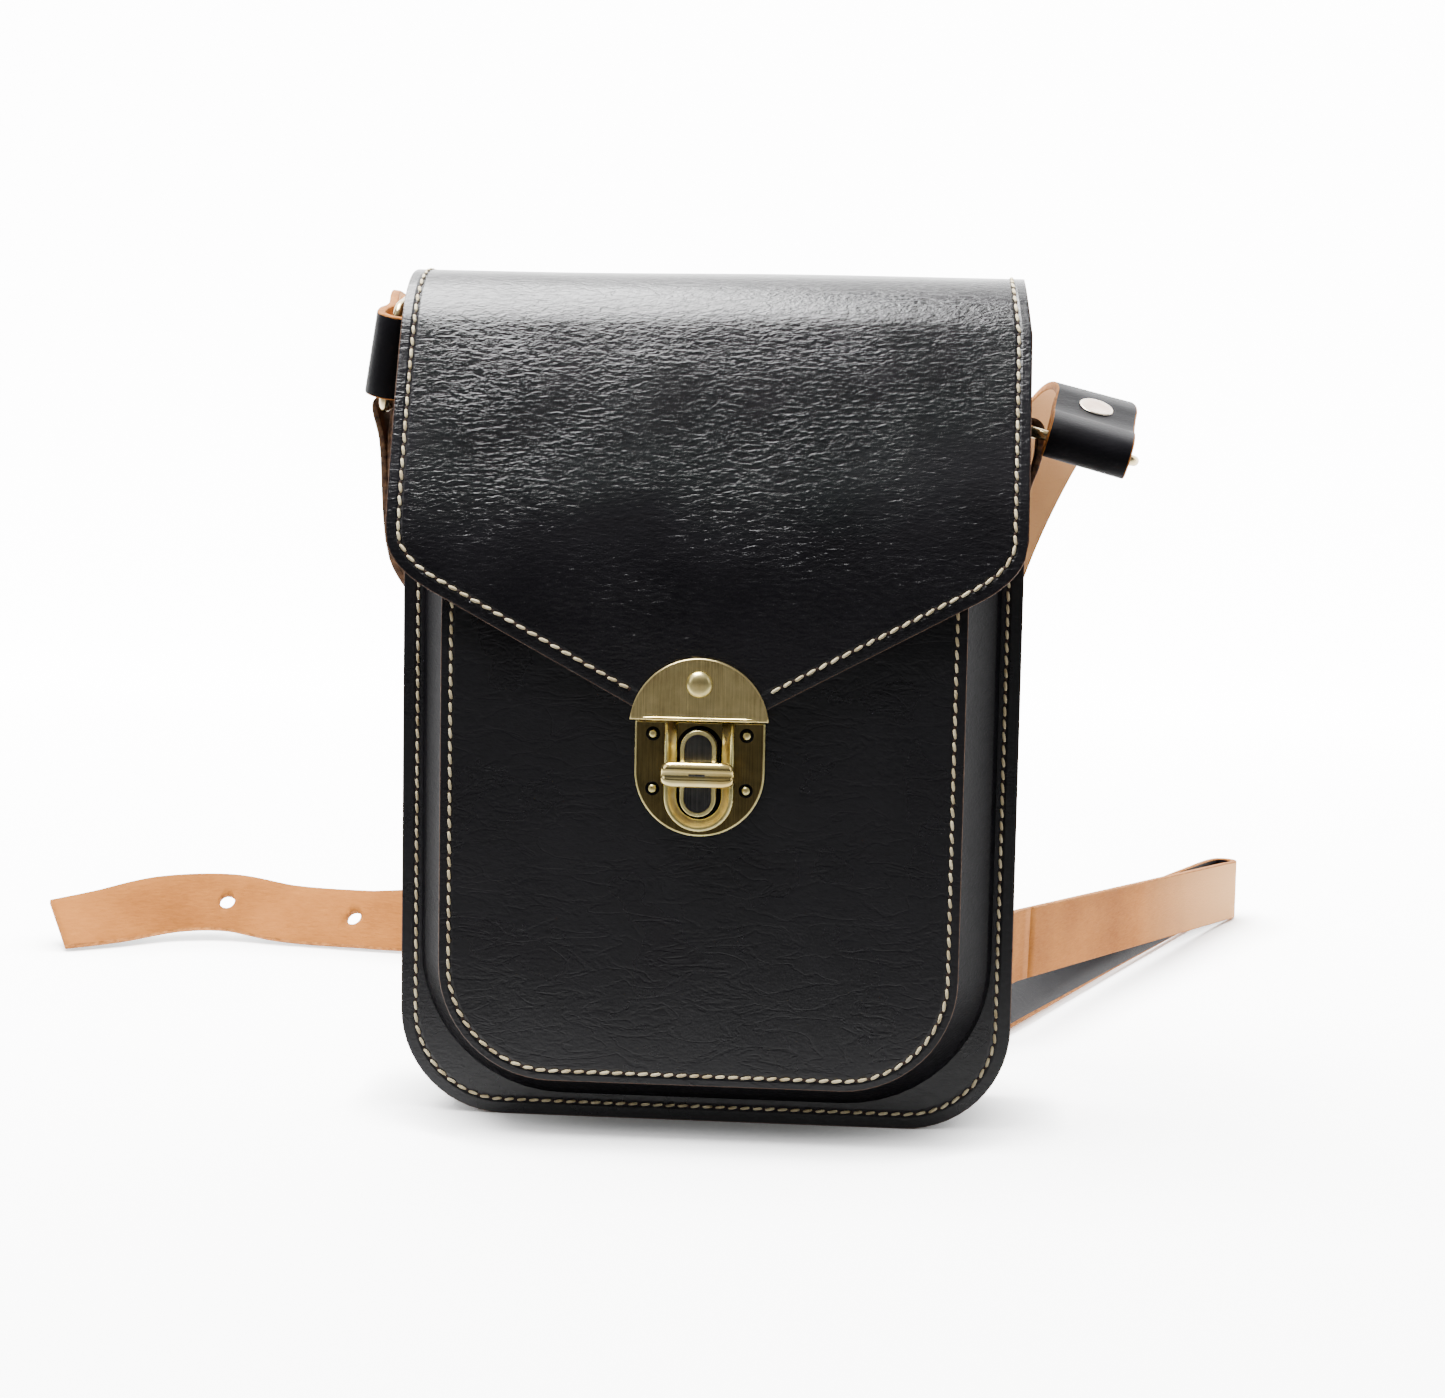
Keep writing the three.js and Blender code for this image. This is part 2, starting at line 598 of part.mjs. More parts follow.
// A folded strip of leather, sewn to the gusset at its foot, with a ring's bar in the loop at its top;
// the loop leans with the ring.
function tab([barX, barZ], side, strip, lean = 0) {
  const bore = RING_WIRE + RING_PLAY;
  const leaning = (geometry) => geometry
    .translate(0, 0, -barZ).rotateX(radians(lean)).translate(0, 0, barZ);
  const loop = leaning(rodY(barX, barZ, bore + TAB_LEATHER, -TAB_WIDTH / 2, TAB_WIDTH / 2, 20));
  const shape = new THREE.Shape(strip.map(([x, z]) => new THREE.Vector2(side * x, z)));
  return cut(
    join(loop, plate(shape, TAB_WIDTH / 2, TAB_WIDTH)),
    leaning(rodY(barX, barZ, bore, -TAB_WIDTH, TAB_WIDTH, 20)),
  );
}

function addTabs() {
  const inner = BODY_HALF_WIDTH - GUSSET_INSET + GAP;
  const outer = inner + 2 * TAB_LEATHER;
  const foot = [[inner, TAB_BOTTOM], [outer, TAB_BOTTOM]];
  const standing = [[95.5, 158], [99.4, 203.6], [94.3, 203.6], [91.3, 160]];
  const hugging = [[outer, 176], [92.4, 198], [87.8, 198], [inner, 178]];
  add("tab_left", tab(LEFT_BAR, -1, [...foot, ...standing], LEFT_RING_LEAN), blackLeather);
  add("tab_right", tab(RIGHT_BAR, 1, [...foot, ...hugging]), blackLeather);
}

// ---- flap ----------------------------------------------------------------------------------------
function flapOutline(halfWidth) {
  const shape = new THREE.Shape();
  const [sx, sz] = [FLAP_SHOULDER.x, FLAP_SHOULDER.y];
  shape.moveTo(-halfWidth, 300);
  shape.lineTo(-halfWidth, FLAP_SIDE_END);
  shape.quadraticCurveTo(-halfWidth, sz + 7, -sx, sz);
  shape.lineTo(-FLAP_TIP.x - 5, FLAP_TIP.y + 2.6);
  shape.lineTo(-FLAP_TIP.x, FLAP_TIP.y);
  shape.lineTo(FLAP_TIP.x, FLAP_TIP.y);
  shape.lineTo(FLAP_TIP.x + 5, FLAP_TIP.y + 2.6);
  shape.lineTo(sx, sz);
  shape.quadraticCurveTo(halfWidth, sz + 7, halfWidth, FLAP_SIDE_END);
  shape.lineTo(halfWidth, FLAP_TAPER_Z[0]);
  shape.lineTo(halfWidth - FLAP_TAPER, FLAP_TAPER_Z[1]);
  shape.lineTo(halfWidth - FLAP_TAPER, 300);
  return shape;
}

function addFlap() {
  const bare = ([y, z]) => new THREE.CylinderGeometry(
    FLAP_HINGE_CLEARANCE, FLAP_HINGE_CLEARANCE, 240, 20,
  ).rotateZ(Math.PI / 2).translate(0, y, z);
  const bends = [bare(FLAP_BACK_AXIS), bare(FLAP_FRONT_AXIS)];
  const prism = plate(flapOutline(FLAP_HALF_WIDTH), 60, 140);
  const layers = [
    ["leather", 0, LEATHER, blackLeather],
    ["lining", LEATHER + GAP, LEATHER + GAP + LINING, tanLeather],
  ];
  for (const [layer, depthOut, depthIn, material] of layers) {
    const halves = solidOf(sheet(FLAP_PROFILE, FLAP_HALF_WIDTH + 8, depthOut, depthIn))
      .intersect(solidOf(prism))
      .subtract(solidOf(bends[0]))
      .subtract(solidOf(bends[1]));
    // The two largest pieces are the top and the front; the one that reaches further back is the top.
    const [top, face] = halves.decompose()
      .sort((a, b) => b.volume() - a.volume())
      .slice(0, 2)
      .sort((a, b) => b.boundingBox().max[1] - a.boundingBox().max[1]);
    add(`flap_top_${layer}`, geometryOf(top), material);
    const radius = layer === "lining" ? HASP_WASHER_RADIUS : HASP_SHANK_RADIUS;
    const rivetHole = rodY(0, HASP_RIVET_Z, radius + GAP, -60, -40);
    add(`flap_front_${layer}`, cut(geometryOf(face), rivetHole), material);
  }
}

// ---- lock ----------------------------------------------------------------------------------------
function roundEnded(halfWidth, bottom, top, roundTop = false) {
  const shape = new THREE.Shape();
  shape.moveTo(-halfWidth, roundTop ? top - halfWidth : top);
  shape.lineTo(-halfWidth, bottom + halfWidth);
  shape.absarc(0, bottom + halfWidth, halfWidth, Math.PI, 2 * Math.PI, false);
  shape.lineTo(halfWidth, roundTop ? top - halfWidth : top);
  if (roundTop) shape.absarc(0, top - halfWidth, halfWidth, 0, Math.PI, false);
  return shape;
}

function addLock() {
  const plateBack = POCKET_FRONT_Y - GAP;
  const plateFront = plateBack - LOCK_PLATE;
  const bottom = LOCK_Z - LOCK_HALF_WIDTH;
  const base = plate(roundEnded(LOCK_HALF_WIDTH, bottom, LOCK_TOP), plateBack, LOCK_PLATE);
  add("lock_plate", cut(base, ...pocketHoles()), antiqueBrass);
  const backPlateY = POCKET_FRONT_Y + LEATHER + 2 * GAP + 1;
  const inner = plate(roundEnded(LOCK_HALF_WIDTH, bottom, LOCK_TOP), backPlateY, 1);
  add("lock_back_plate", cut(inner, ...pocketHoles()), antiqueBrass);

  const half = BOSS_HEIGHT / 2;
  const bossShape = roundEnded(BOSS_HALF_WIDTH, LOCK_Z - half, LOCK_Z + half, true);
  const shaftHole = rodY(0, LOCK_Z, KNOB_SHAFT_RADIUS + GAP, -70, -30);
  add("lock_boss", cut(plate(bossShape, plateFront - GAP, BOSS_DEPTH), shaftHole), darkInlay);

  nailPlaces().forEach(([x, z], i) => {
    const nail = rodY(x, z, NAIL_RADIUS, plateFront - 0.5, backPlateY + 0.5, 12);
    add(`lock_nail_${i + 1}`, nail, antiqueBrass);
  });

  const coverBack = FLAP_PROFILE[FLAP_PROFILE.length - 1][0] - GAP;
  const cover = new THREE.Shape();
  const [w, h] = [COVER_HALF_WIDTH, COVER_HEIGHT];
  const radius = (w * w + h * h) / (2 * h);
  const start = Math.asin((h - radius) / radius);
  cover.moveTo(-w, COVER_BOTTOM);
  cover.lineTo(w, COVER_BOTTOM);
  cover.absarc(0, COVER_BOTTOM + h - radius, radius, -start, Math.PI + start, false);
  const hole = rodY(0, HASP_RIVET_Z, HASP_SHANK_RADIUS + GAP, -70, -30);
  add("hasp_cover", cut(plate(cover, coverBack, COVER_THICKNESS), hole), antiqueBrass);

  const loopTop = FLAP_TIP.y - GAP;
  const loopOutline = roundEnded(LOOP_OUTER, LOOP_BOTTOM, loopTop);
  const opening = roundEnded(LOOP_INNER, LOOP_BOTTOM + LOOP_OUTER - LOOP_INNER, loopTop - 2.2, false);
  const loopBack = plateFront - GAP;
  const loop = cut(
    plate(loopOutline, loopBack, LOOP_THICKNESS),
    plate(opening, loopBack + 2, LOOP_THICKNESS + 4),
  );
  add("hasp_loop", loop, antiqueBrass);

  const rivetFront = coverBack - COVER_THICKNESS - GAP;
  const domeProfile = Array.from({ length: 6 }, (_, i) => {
    const a = (i / 5) * (Math.PI / 2);
    return new THREE.Vector2(HASP_RIVET_RADIUS * Math.cos(a), HASP_RIVET_DOME * Math.sin(a));
  });
  const head = new THREE.LatheGeometry([new THREE.Vector2(0, 0), ...domeProfile], 20)
    .rotateX(Math.PI).translate(0, rivetFront, HASP_RIVET_Z);
  const leatherBack = coverBack + GAP + LEATHER;
  const shank = rodY(0, HASP_RIVET_Z, HASP_SHANK_RADIUS, rivetFront - 0.5, leatherBack + 0.6);
  const washer = rodY(0, HASP_RIVET_Z, HASP_WASHER_RADIUS, leatherBack + 0.2, leatherBack + LINING);
  add("hasp_rivet", join(orient(head), shank, washer), antiqueBrass);
  addKnob(plateFront - GAP - BOSS_DEPTH, backPlateY);
}

// A closed geometry with its faces turned outwards.
function orient(geometry) {
  if (solidOf(geometry).volume() < 0) geometry.index.array.reverse();
  return geometry;
}

function addKnob(bossFront, backPlateY) {
  const r = KNOB_BAR_RADIUS;
  const y = bossFront - GAP - r;
  const straight = KNOB_LENGTH - 2 * r;
  const bar = (z) => new THREE.CapsuleGeometry(r, straight, 4, 14)
    .rotateZ(Math.PI / 2).translate(0, y, z);
  const offset = r * 0.86;
  const shaft = rodY(0, LOCK_Z, KNOB_SHAFT_RADIUS, y, backPlateY + 2.4);
  add("turn_knob", join(bar(LOCK_Z - offset), bar(LOCK_Z + offset), shaft), polishedBrass);
  const clipY = backPlateY + 0.4;
  const clip = cut(
    rodY(0, LOCK_Z, 4.2, clipY, clipY + 0.8, 20),
    rodY(0, LOCK_Z, KNOB_SHAFT_RADIUS + 0.05, clipY - 2, clipY + 3, 16),
  );
  add("knob_clip", clip, antiqueBrass);
}

// ---- rings and straps ----------------------------------------------------------------------------
function ringGeometry(ring, slide) {
  const points = roundedLoop(RING_SIDE, RING_SIDE, RING_CORNER).map(([u, v]) =>
    ring.centre.clone().addScaledVector(ring.out, u).addScaledVector(ring.bar, v + slide),
  );
  return wireLoop(points, RING_WIRE, ring.side);
}

// A rivet through the two layers behind a ring, at parameter t of the long layer.
function flatRivet(ribbon, t) {
  const above = STRAP_THICKNESS / 2 + GAP;
  const below = above + 2 * LOOP_LAYERS[RIVETED][1];
  const head = 1; // its thickness
  const shank = pinThrough(ribbon, t, RIVET_SHANK, below + head / 2, above + head / 2);
  const top = pinThrough(ribbon, t, RIVET_HEAD, -above, above + head, 20);
  const bottom = pinThrough(ribbon, t, RIVET_HEAD, below + head, -below, 20);
  return join(shank, top, bottom);
}

function addStraps() {
  add("ring_left", ringGeometry(leftRing, LEFT_RING_SLIDE), antiqueBrass);
  add("ring_right", ringGeometry(rightRing, 0), antiqueBrass);
  const rivetStation = LOOP_STATIONS + RIVETED;
  const half = STRAP_JOINT_GAP / 2;

  const { ribbon: left, bend: leftBendStation } = leftStrap();
  const leftSpans = left.widths.length - 1;
  const leftBend = leftBendStation / leftSpans;
  const leftRivet = rivetStation / leftSpans;
  const rivetHole = (ribbon, t) => pinThrough(ribbon, t, RIVET_SHANK + GAP, 8, 3);
  const leftUpper = cut(left.solid(0, left.step(leftBend, -half)), rivetHole(left, leftRivet));
  add("strap_left_upper", leftUpper, blackLeather);
  const punched = Array.from({ length: HOLES }, (_, i) =>
    pinThrough(left, left.step(1, -(FIRST_HOLE + i * HOLE_PITCH)), HOLE_RADIUS, 4, 4),
  );
  add("strap_left_tongue", cut(left.solid(left.step(leftBend, half), 1), ...punched), tanLeather);
  add("strap_left_rivet", flatRivet(left, leftRivet), paleMetal);

  const { ribbon: right, bend: bendStation, fold: foldStation } = rightStrap();
  const spans = right.widths.length - 1;
  const [bend, fold, rivet] = [bendStation / spans, foldStation / spans, rivetStation / spans];
  const rightUpper = cut(right.solid(0, right.step(bend, -half)), rivetHole(right, rivet));
  add("strap_right_upper", rightUpper, blackLeather);
  add("strap_right_out", right.solid(right.step(bend, half), right.step(fold, -half)), tanLeather);
  add("strap_right_rivet", flatRivet(right, rivet), paleMetal);

  const { x, y, z } = BUCKLE_BAR;
  const slot = new THREE.BoxGeometry(11.4, 5.4, 16).translate(x - 1.3, y, z);
  const buckleRivetHole = rodZ(BUCKLE_RIVET_X, y, BUCKLE_RIVET_SHANK + GAP, -5, 20);
  const home = cut(right.solid(right.step(fold, half), 1), slot, buckleRivetHole);
  add("strap_right_return", home, blackLeather);
  addBuckle();
}

function rodZ(x, y, radius, z0, z1, sides = 14) {
  return new THREE.CylinderGeometry(radius, radius, z1 - z0, sides)
    .rotateX(Math.PI / 2).translate(x, y, (z0 + z1) / 2);
}

function addBuckle() {
  const { x, y, z } = BUCKLE_BAR;
  const points = roundedLoop(BUCKLE_LENGTH, BUCKLE_WIDTH, RING_CORNER).map(([u, v]) =>
    new THREE.Vector3(x - u, y + v, z),
  );
  const up = new THREE.Vector3(0, 0, 1);
  add("buckle_frame", wireLoop(points, BUCKLE_WIRE, up), antiqueBrass);

  // The prong: a ring round the bar and a rod that rests on the frame's far side.
  const eye = BUCKLE_WIRE + GAP;
  const hubRadius = eye + 1.1;
  const hub = rodY(x, z, hubRadius, y - 2, y + 2, 18);
  const from = new THREE.Vector3(x - hubRadius + 0.4, y, z + 1.6);
  const to = new THREE.Vector3(x - BUCKLE_LENGTH - 2.6, y, z + eye + PRONG_RADIUS + 0.2);
  const along = to.clone().sub(from);
  const aim = new THREE.Quaternion().setFromUnitVectors(
    new THREE.Vector3(0, 1, 0), along.clone().normalize(),
  );
  const rod = new THREE.CapsuleGeometry(PRONG_RADIUS, along.length(), 3, 12)
    .applyQuaternion(aim)
    .translate((from.x + to.x) / 2, y, (from.z + to.z) / 2);
  const bore = rodY(x, z, eye, y - 4, y + 4, 18);
  add("buckle_prong", cut(join(hub, rod), bore), antiqueBrass);

  const pin = (radius, z0, z1) => rodZ(BUCKLE_RIVET_X, y, radius, z0, z1);
  const head = 3.2; // radius
  const rivet = join(pin(BUCKLE_RIVET_SHANK, 0.45, 8.8), pin(head, 7.9, 8.7), pin(head, 0.15, 0.5));
  add("buckle_rivet", rivet, paleMetal);

  const [halfWide, halfTall] = [STRAP_WIDTH / 2 + 0.5, STRAP_THICKNESS / 2 + 0.45];
  const wall = KEEPER_LEATHER;
  const outer = new THREE.BoxGeometry(KEEPER_LENGTH, 2 * (halfWide + wall), 2 * (halfTall + wall));
  const inner = new THREE.BoxGeometry(KEEPER_LENGTH + 3, 2 * halfWide, 2 * halfTall);
  add("strap_keeper", cut(outer, inner).translate(KEEPER_X, y, FLOOR_STRAP_Z), blackLeather);
}

addBody();
addPocket();
addTabs();
addFlap();
addLock();
addStraps();

export default bag;
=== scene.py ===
# Looks of a small stiff-leather crossbody bag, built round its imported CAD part.
# Lengths in this script are millimetres in the part's frame until a mesh is made.
import json
import math

import bmesh
import bpy
import numpy as np
from mathutils import Matrix, Vector


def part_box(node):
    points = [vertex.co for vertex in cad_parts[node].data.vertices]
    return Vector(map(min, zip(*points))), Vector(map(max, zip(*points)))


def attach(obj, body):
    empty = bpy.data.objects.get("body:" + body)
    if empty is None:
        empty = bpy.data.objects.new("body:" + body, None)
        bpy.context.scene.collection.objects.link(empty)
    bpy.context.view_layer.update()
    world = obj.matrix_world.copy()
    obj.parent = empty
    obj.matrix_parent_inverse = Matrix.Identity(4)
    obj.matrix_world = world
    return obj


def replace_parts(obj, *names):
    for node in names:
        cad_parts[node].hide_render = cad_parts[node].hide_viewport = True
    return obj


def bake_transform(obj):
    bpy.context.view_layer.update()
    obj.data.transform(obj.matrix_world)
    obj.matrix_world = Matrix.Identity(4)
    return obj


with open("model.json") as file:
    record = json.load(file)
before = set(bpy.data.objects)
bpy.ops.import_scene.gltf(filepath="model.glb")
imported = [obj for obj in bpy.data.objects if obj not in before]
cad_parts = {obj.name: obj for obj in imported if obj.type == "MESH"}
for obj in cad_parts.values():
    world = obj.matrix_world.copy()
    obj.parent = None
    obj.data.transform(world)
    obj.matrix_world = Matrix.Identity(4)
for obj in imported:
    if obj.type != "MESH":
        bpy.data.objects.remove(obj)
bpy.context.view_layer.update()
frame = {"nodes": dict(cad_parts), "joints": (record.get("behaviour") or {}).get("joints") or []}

MM = 0.001
rng = np.random.RandomState(11)
JOINTS = {j["name"]: j for j in frame["joints"]}


def box(node):
    """Lowest and highest corner of a CAD node in millimetres."""
    lo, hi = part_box(node)
    return Vector(lo) / MM, Vector(hi) / MM


def place(piece, body, slot, *nodes):
    """Puts a piece on a body, in place of CAD nodes where there are any; the finish named by slot is not
    used.
    """
    if nodes:
        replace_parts(piece, *nodes)
    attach(piece, body)


def pivot(joint):
    return Vector(JOINTS[joint]["pos_m"]) / MM


# ---- materials ----------------------------------------------------------------------------------
class Graph:
    """A node tree under construction."""

    def __init__(self, tree):
        self.tree = tree

    def add(self, kind, **settings):
        node = self.tree.nodes.new(kind)
        for key, value in settings.items():
            if key[0].isupper():
                self.set(node, key.replace("_", " "), value)
            else:
                setattr(node, key, value)
        return node

    def set(self, node, socket, value):
        slot = node.inputs[socket]
        if isinstance(value, bpy.types.NodeSocket):
            self.tree.links.new(value, slot)
        elif isinstance(value, tuple) and len(value) == 3 and slot.type == "RGBA":
            slot.default_value = (*value, 1)
        else:
            slot.default_value = value

    def ramp(self, value, low, high, a=0.0, b=1.0):
        node = self.add("ShaderNodeMapRange", Value=value)
        for socket, number in zip(("From Min", "From Max", "To Min", "To Max"), (low, high, a, b)):
            self.set(node, socket, number)
        return node.outputs[0]

    def math(self, operation, a, b=0.0):
        node = self.add("ShaderNodeMath", operation=operation)
        self.set(node, 0, a)
        self.set(node, 1, b)
        return node.outputs[0]

    def mix(self, factor, a, b):
        node = self.add("ShaderNodeMix", data_type="RGBA")
        for socket, value in ((0, factor), (6, a), (7, b)):
            self.set(node, socket, value)
        return node.outputs[2]


class Shader(Graph):
    """A node material under construction."""

    def __init__(self, name):
        self.material = bpy.data.materials.new(name)
        self.material.use_nodes = True
        super().__init__(self.material.node_tree)
        self.tree.nodes.clear()
        self.bsdf = self.add("ShaderNodeBsdfPrincipled")
        self.add("ShaderNodeOutputMaterial", Surface=self.bsdf.outputs[0])
        self.object = self.add("ShaderNodeTexCoord").outputs["Object"]

    def coords(self, scale):
        """Object coordinates stretched by (x, y, z), per metre."""
        return self.add("ShaderNodeMapping", Vector=self.object, Scale=scale).outputs[0]

    def noise(self, scale, detail=3.0, coords=None, rough=0.5, distort=0.0):
        node = self.add(
            "ShaderNodeTexNoise",
            Vector=coords if coords is not None else self.object,
            Scale=scale,
            Detail=detail,
            Roughness=rough,
            Distortion=distort,
        )
        return node.outputs[0]

    def cells(self, scale, coords=None, feature="F1"):
        node = self.add(
            "ShaderNodeTexVoronoi",
            feature=feature,
            Vector=coords if coords is not None else self.object,
            Scale=scale,
        )
        return node.outputs["Distance"]

    def bump(self, height, distance_mm, strength=1.0, after=None):
        node = self.add("ShaderNodeBump", Height=height, Distance=distance_mm * MM, Strength=strength)
        if after is not None:
            self.set(node, "Normal", after)
        return node.outputs[0]

    def edge(self):
        """Distance to the piece's cut edge in millimetres, stored on its vertices."""
        node = self.add("ShaderNodeAttribute", attribute_name="edge_mm")
        return node.outputs["Fac"]

    def finish(self, **values):
        for key, value in values.items():
            self.set(self.bsdf, key.replace("_", " "), value)
        return self.material


GROOVE = {"flap": 3.7, "panel": 4.3, "pocket": 2.9}


def black_leather(name, groove=None, wrinkle=0.0, crease=0.0, shine=0.38, matt=0.26):
    """Glossy pebbled leather: short fine wrinkles along X, soft creases, and a pressed stitch groove."""
    s = Shader(name)
    grain = s.cells(1300, s.coords((0.75, 1, 1)), "SMOOTH_F1")
    fine = s.noise(3200, 2.0)
    mottle = s.noise(45, 4.0)
    pebble = s.math("ADD", s.math("MULTIPLY", grain, 0.6), s.math("MULTIPLY", fine, 0.3))
    normal = s.bump(pebble, 0.10, 0.5)
    if wrinkle:
        folds = s.noise(1.0, 3.0, s.coords((330, 860, 860)), 0.6, 0.8)
        patches = s.ramp(s.noise(1.0, 2.0, s.coords((26, 40, 40))), 0.35, 0.65, 0.45, 1.0)
        relief = s.math("MULTIPLY", s.ramp(folds, 0.40, 0.66), patches)
        normal = s.bump(relief, 0.12 * wrinkle, 0.8, normal)
    if crease:
        lines = s.noise(1.0, 3.0, s.coords((60, 60, 150)), 0.55, 0.8)
        sharp = s.math("ABSOLUTE", s.math("SUBTRACT", lines, 0.5))
        normal = s.bump(s.ramp(sharp, 0.0, 0.04), 0.07 * crease, 0.6, normal)
        broad = s.noise(1.0, 2.0, s.coords((22, 22, 14)), 0.5, 0.3)
        normal = s.bump(broad, 3.0 * crease, 0.25, normal)
    colour = s.mix(s.ramp(mottle, 0.3, 0.8), (0.0030, 0.0027, 0.0038), (0.0055, 0.0050, 0.0066))
    rough = s.ramp(mottle, 0.3, 0.75, matt, matt + 0.05)
    if groove:
        distance = s.edge()
        dip = s.ramp(s.math("ABSOLUTE", s.math("SUBTRACT", distance, groove)), 0.25, 1.1)
        normal = s.bump(dip, 0.35, 0.8, normal)
        worn = s.ramp(s.math("ADD", distance, s.math("MULTIPLY", s.noise(900, 2.0), 0.35)), 0.25, 0.55)
        colour = s.mix(worn, (0.055, 0.026, 0.014), colour)
    return s.finish(
        Base_Color=colour, Roughness=rough, Normal=normal, Specular_IOR_Level=shine,
        Coat_Weight=0.05 * (shine > 0.2), Coat_Roughness=0.22,
    )


def flesh_leather(name, dark, light, far=None, high=None):
    """The undyed back of the leather: fibrous, matt; `far` and `high` are paler tones of painted light
    reached along +Y and +Z, where the leather is painted lighter further back and higher up.
    """
    s = Shader(name)
    fibre = s.noise(1.0, 5.0, s.coords((260, 260, 1500)), 0.65, 0.5)
    blotch = s.noise(34, 3.0)
    tone = s.math("ADD", s.math("MULTIPLY", fibre, 0.45), s.math("MULTIPLY", blotch, 0.55))
    colour = s.mix(s.ramp(tone, 0.35, 0.68), dark, light)
    # painted light: the leather further back (+Y) and higher up (+Z) is painted paler, for the light that
    # falls on it there
    if far:
        split = s.add("ShaderNodeSeparateXYZ", Vector=s.object)
        colour = s.mix(s.ramp(split.outputs["Y"], 0.22, 0.34), colour, far)
        colour = s.mix(s.ramp(split.outputs["Z"], 0.08, 0.16), colour, high)
    normal = s.bump(fibre, 0.25, 0.7)
    normal = s.bump(s.noise(1500, 3.0), 0.2, 0.6, normal)
    return s.finish(
        Base_Color=colour, Roughness=0.88, Normal=normal, Specular_IOR_Level=0.12,
    )


def raw_edge(name, dark=(0.040, 0.018, 0.009), light=(0.17, 0.085, 0.042), shine=0.3):
    s = Shader(name)
    layers = s.noise(1.0, 4.0, s.coords((500, 500, 500)), 0.6)
    colour = s.mix(s.ramp(layers, 0.35, 0.7), dark, light)
    normal = s.bump(layers, 0.15, 0.7)
    return s.finish(Base_Color=colour, Roughness=0.8, Normal=normal, Specular_IOR_Level=shine)


def thread(name, dark, light):
    s = Shader(name)
    ply = s.add("ShaderNodeTexWave", Vector=s.object, Scale=420.0, Distortion=1.5, Detail=1.0)
    ply.bands_direction = "DIAGONAL"
    soil = s.noise(240, 2.0)
    colour = s.mix(s.ramp(soil, 0.35, 0.75), light, dark)
    return s.finish(
        Base_Color=colour, Roughness=0.7, Normal=s.bump(ply.outputs["Fac"], 0.12, 0.6), Sheen_Weight=0.2,
    )


def metal(name, dark, light, rough, brush, wear=0.5, stain=0.5):
    """Cast and brushed brass: brush lines run along Z, raised edges are rubbed bright."""
    s = Shader(name)
    lines = s.noise(1.0, 4.0, s.coords((2600, 2600, 70)), 0.6)
    patch = s.noise(150, 4.0)
    point = s.add("ShaderNodeNewGeometry").outputs["Pointiness"]
    rubbed = s.ramp(point, 0.505, 0.56)
    tone = s.math("ADD", s.math("MULTIPLY", lines, 1 - stain), s.math("MULTIPLY", patch, stain))
    base = s.mix(s.ramp(tone, 0.36, 0.64), dark, light)
    colour = s.mix(s.math("MULTIPLY", rubbed, wear), base, tuple(min(1.0, c * 1.45) for c in light))
    roughness = s.math("ADD", s.ramp(tone, 0.35, 0.7, rough + 0.08, rough), s.math("MULTIPLY", rubbed, -0.08))
    normal = s.bump(lines, 0.06 * brush, 0.6)
    return s.finish(Base_Color=colour, Metallic=1.0, Roughness=roughness, Normal=normal)


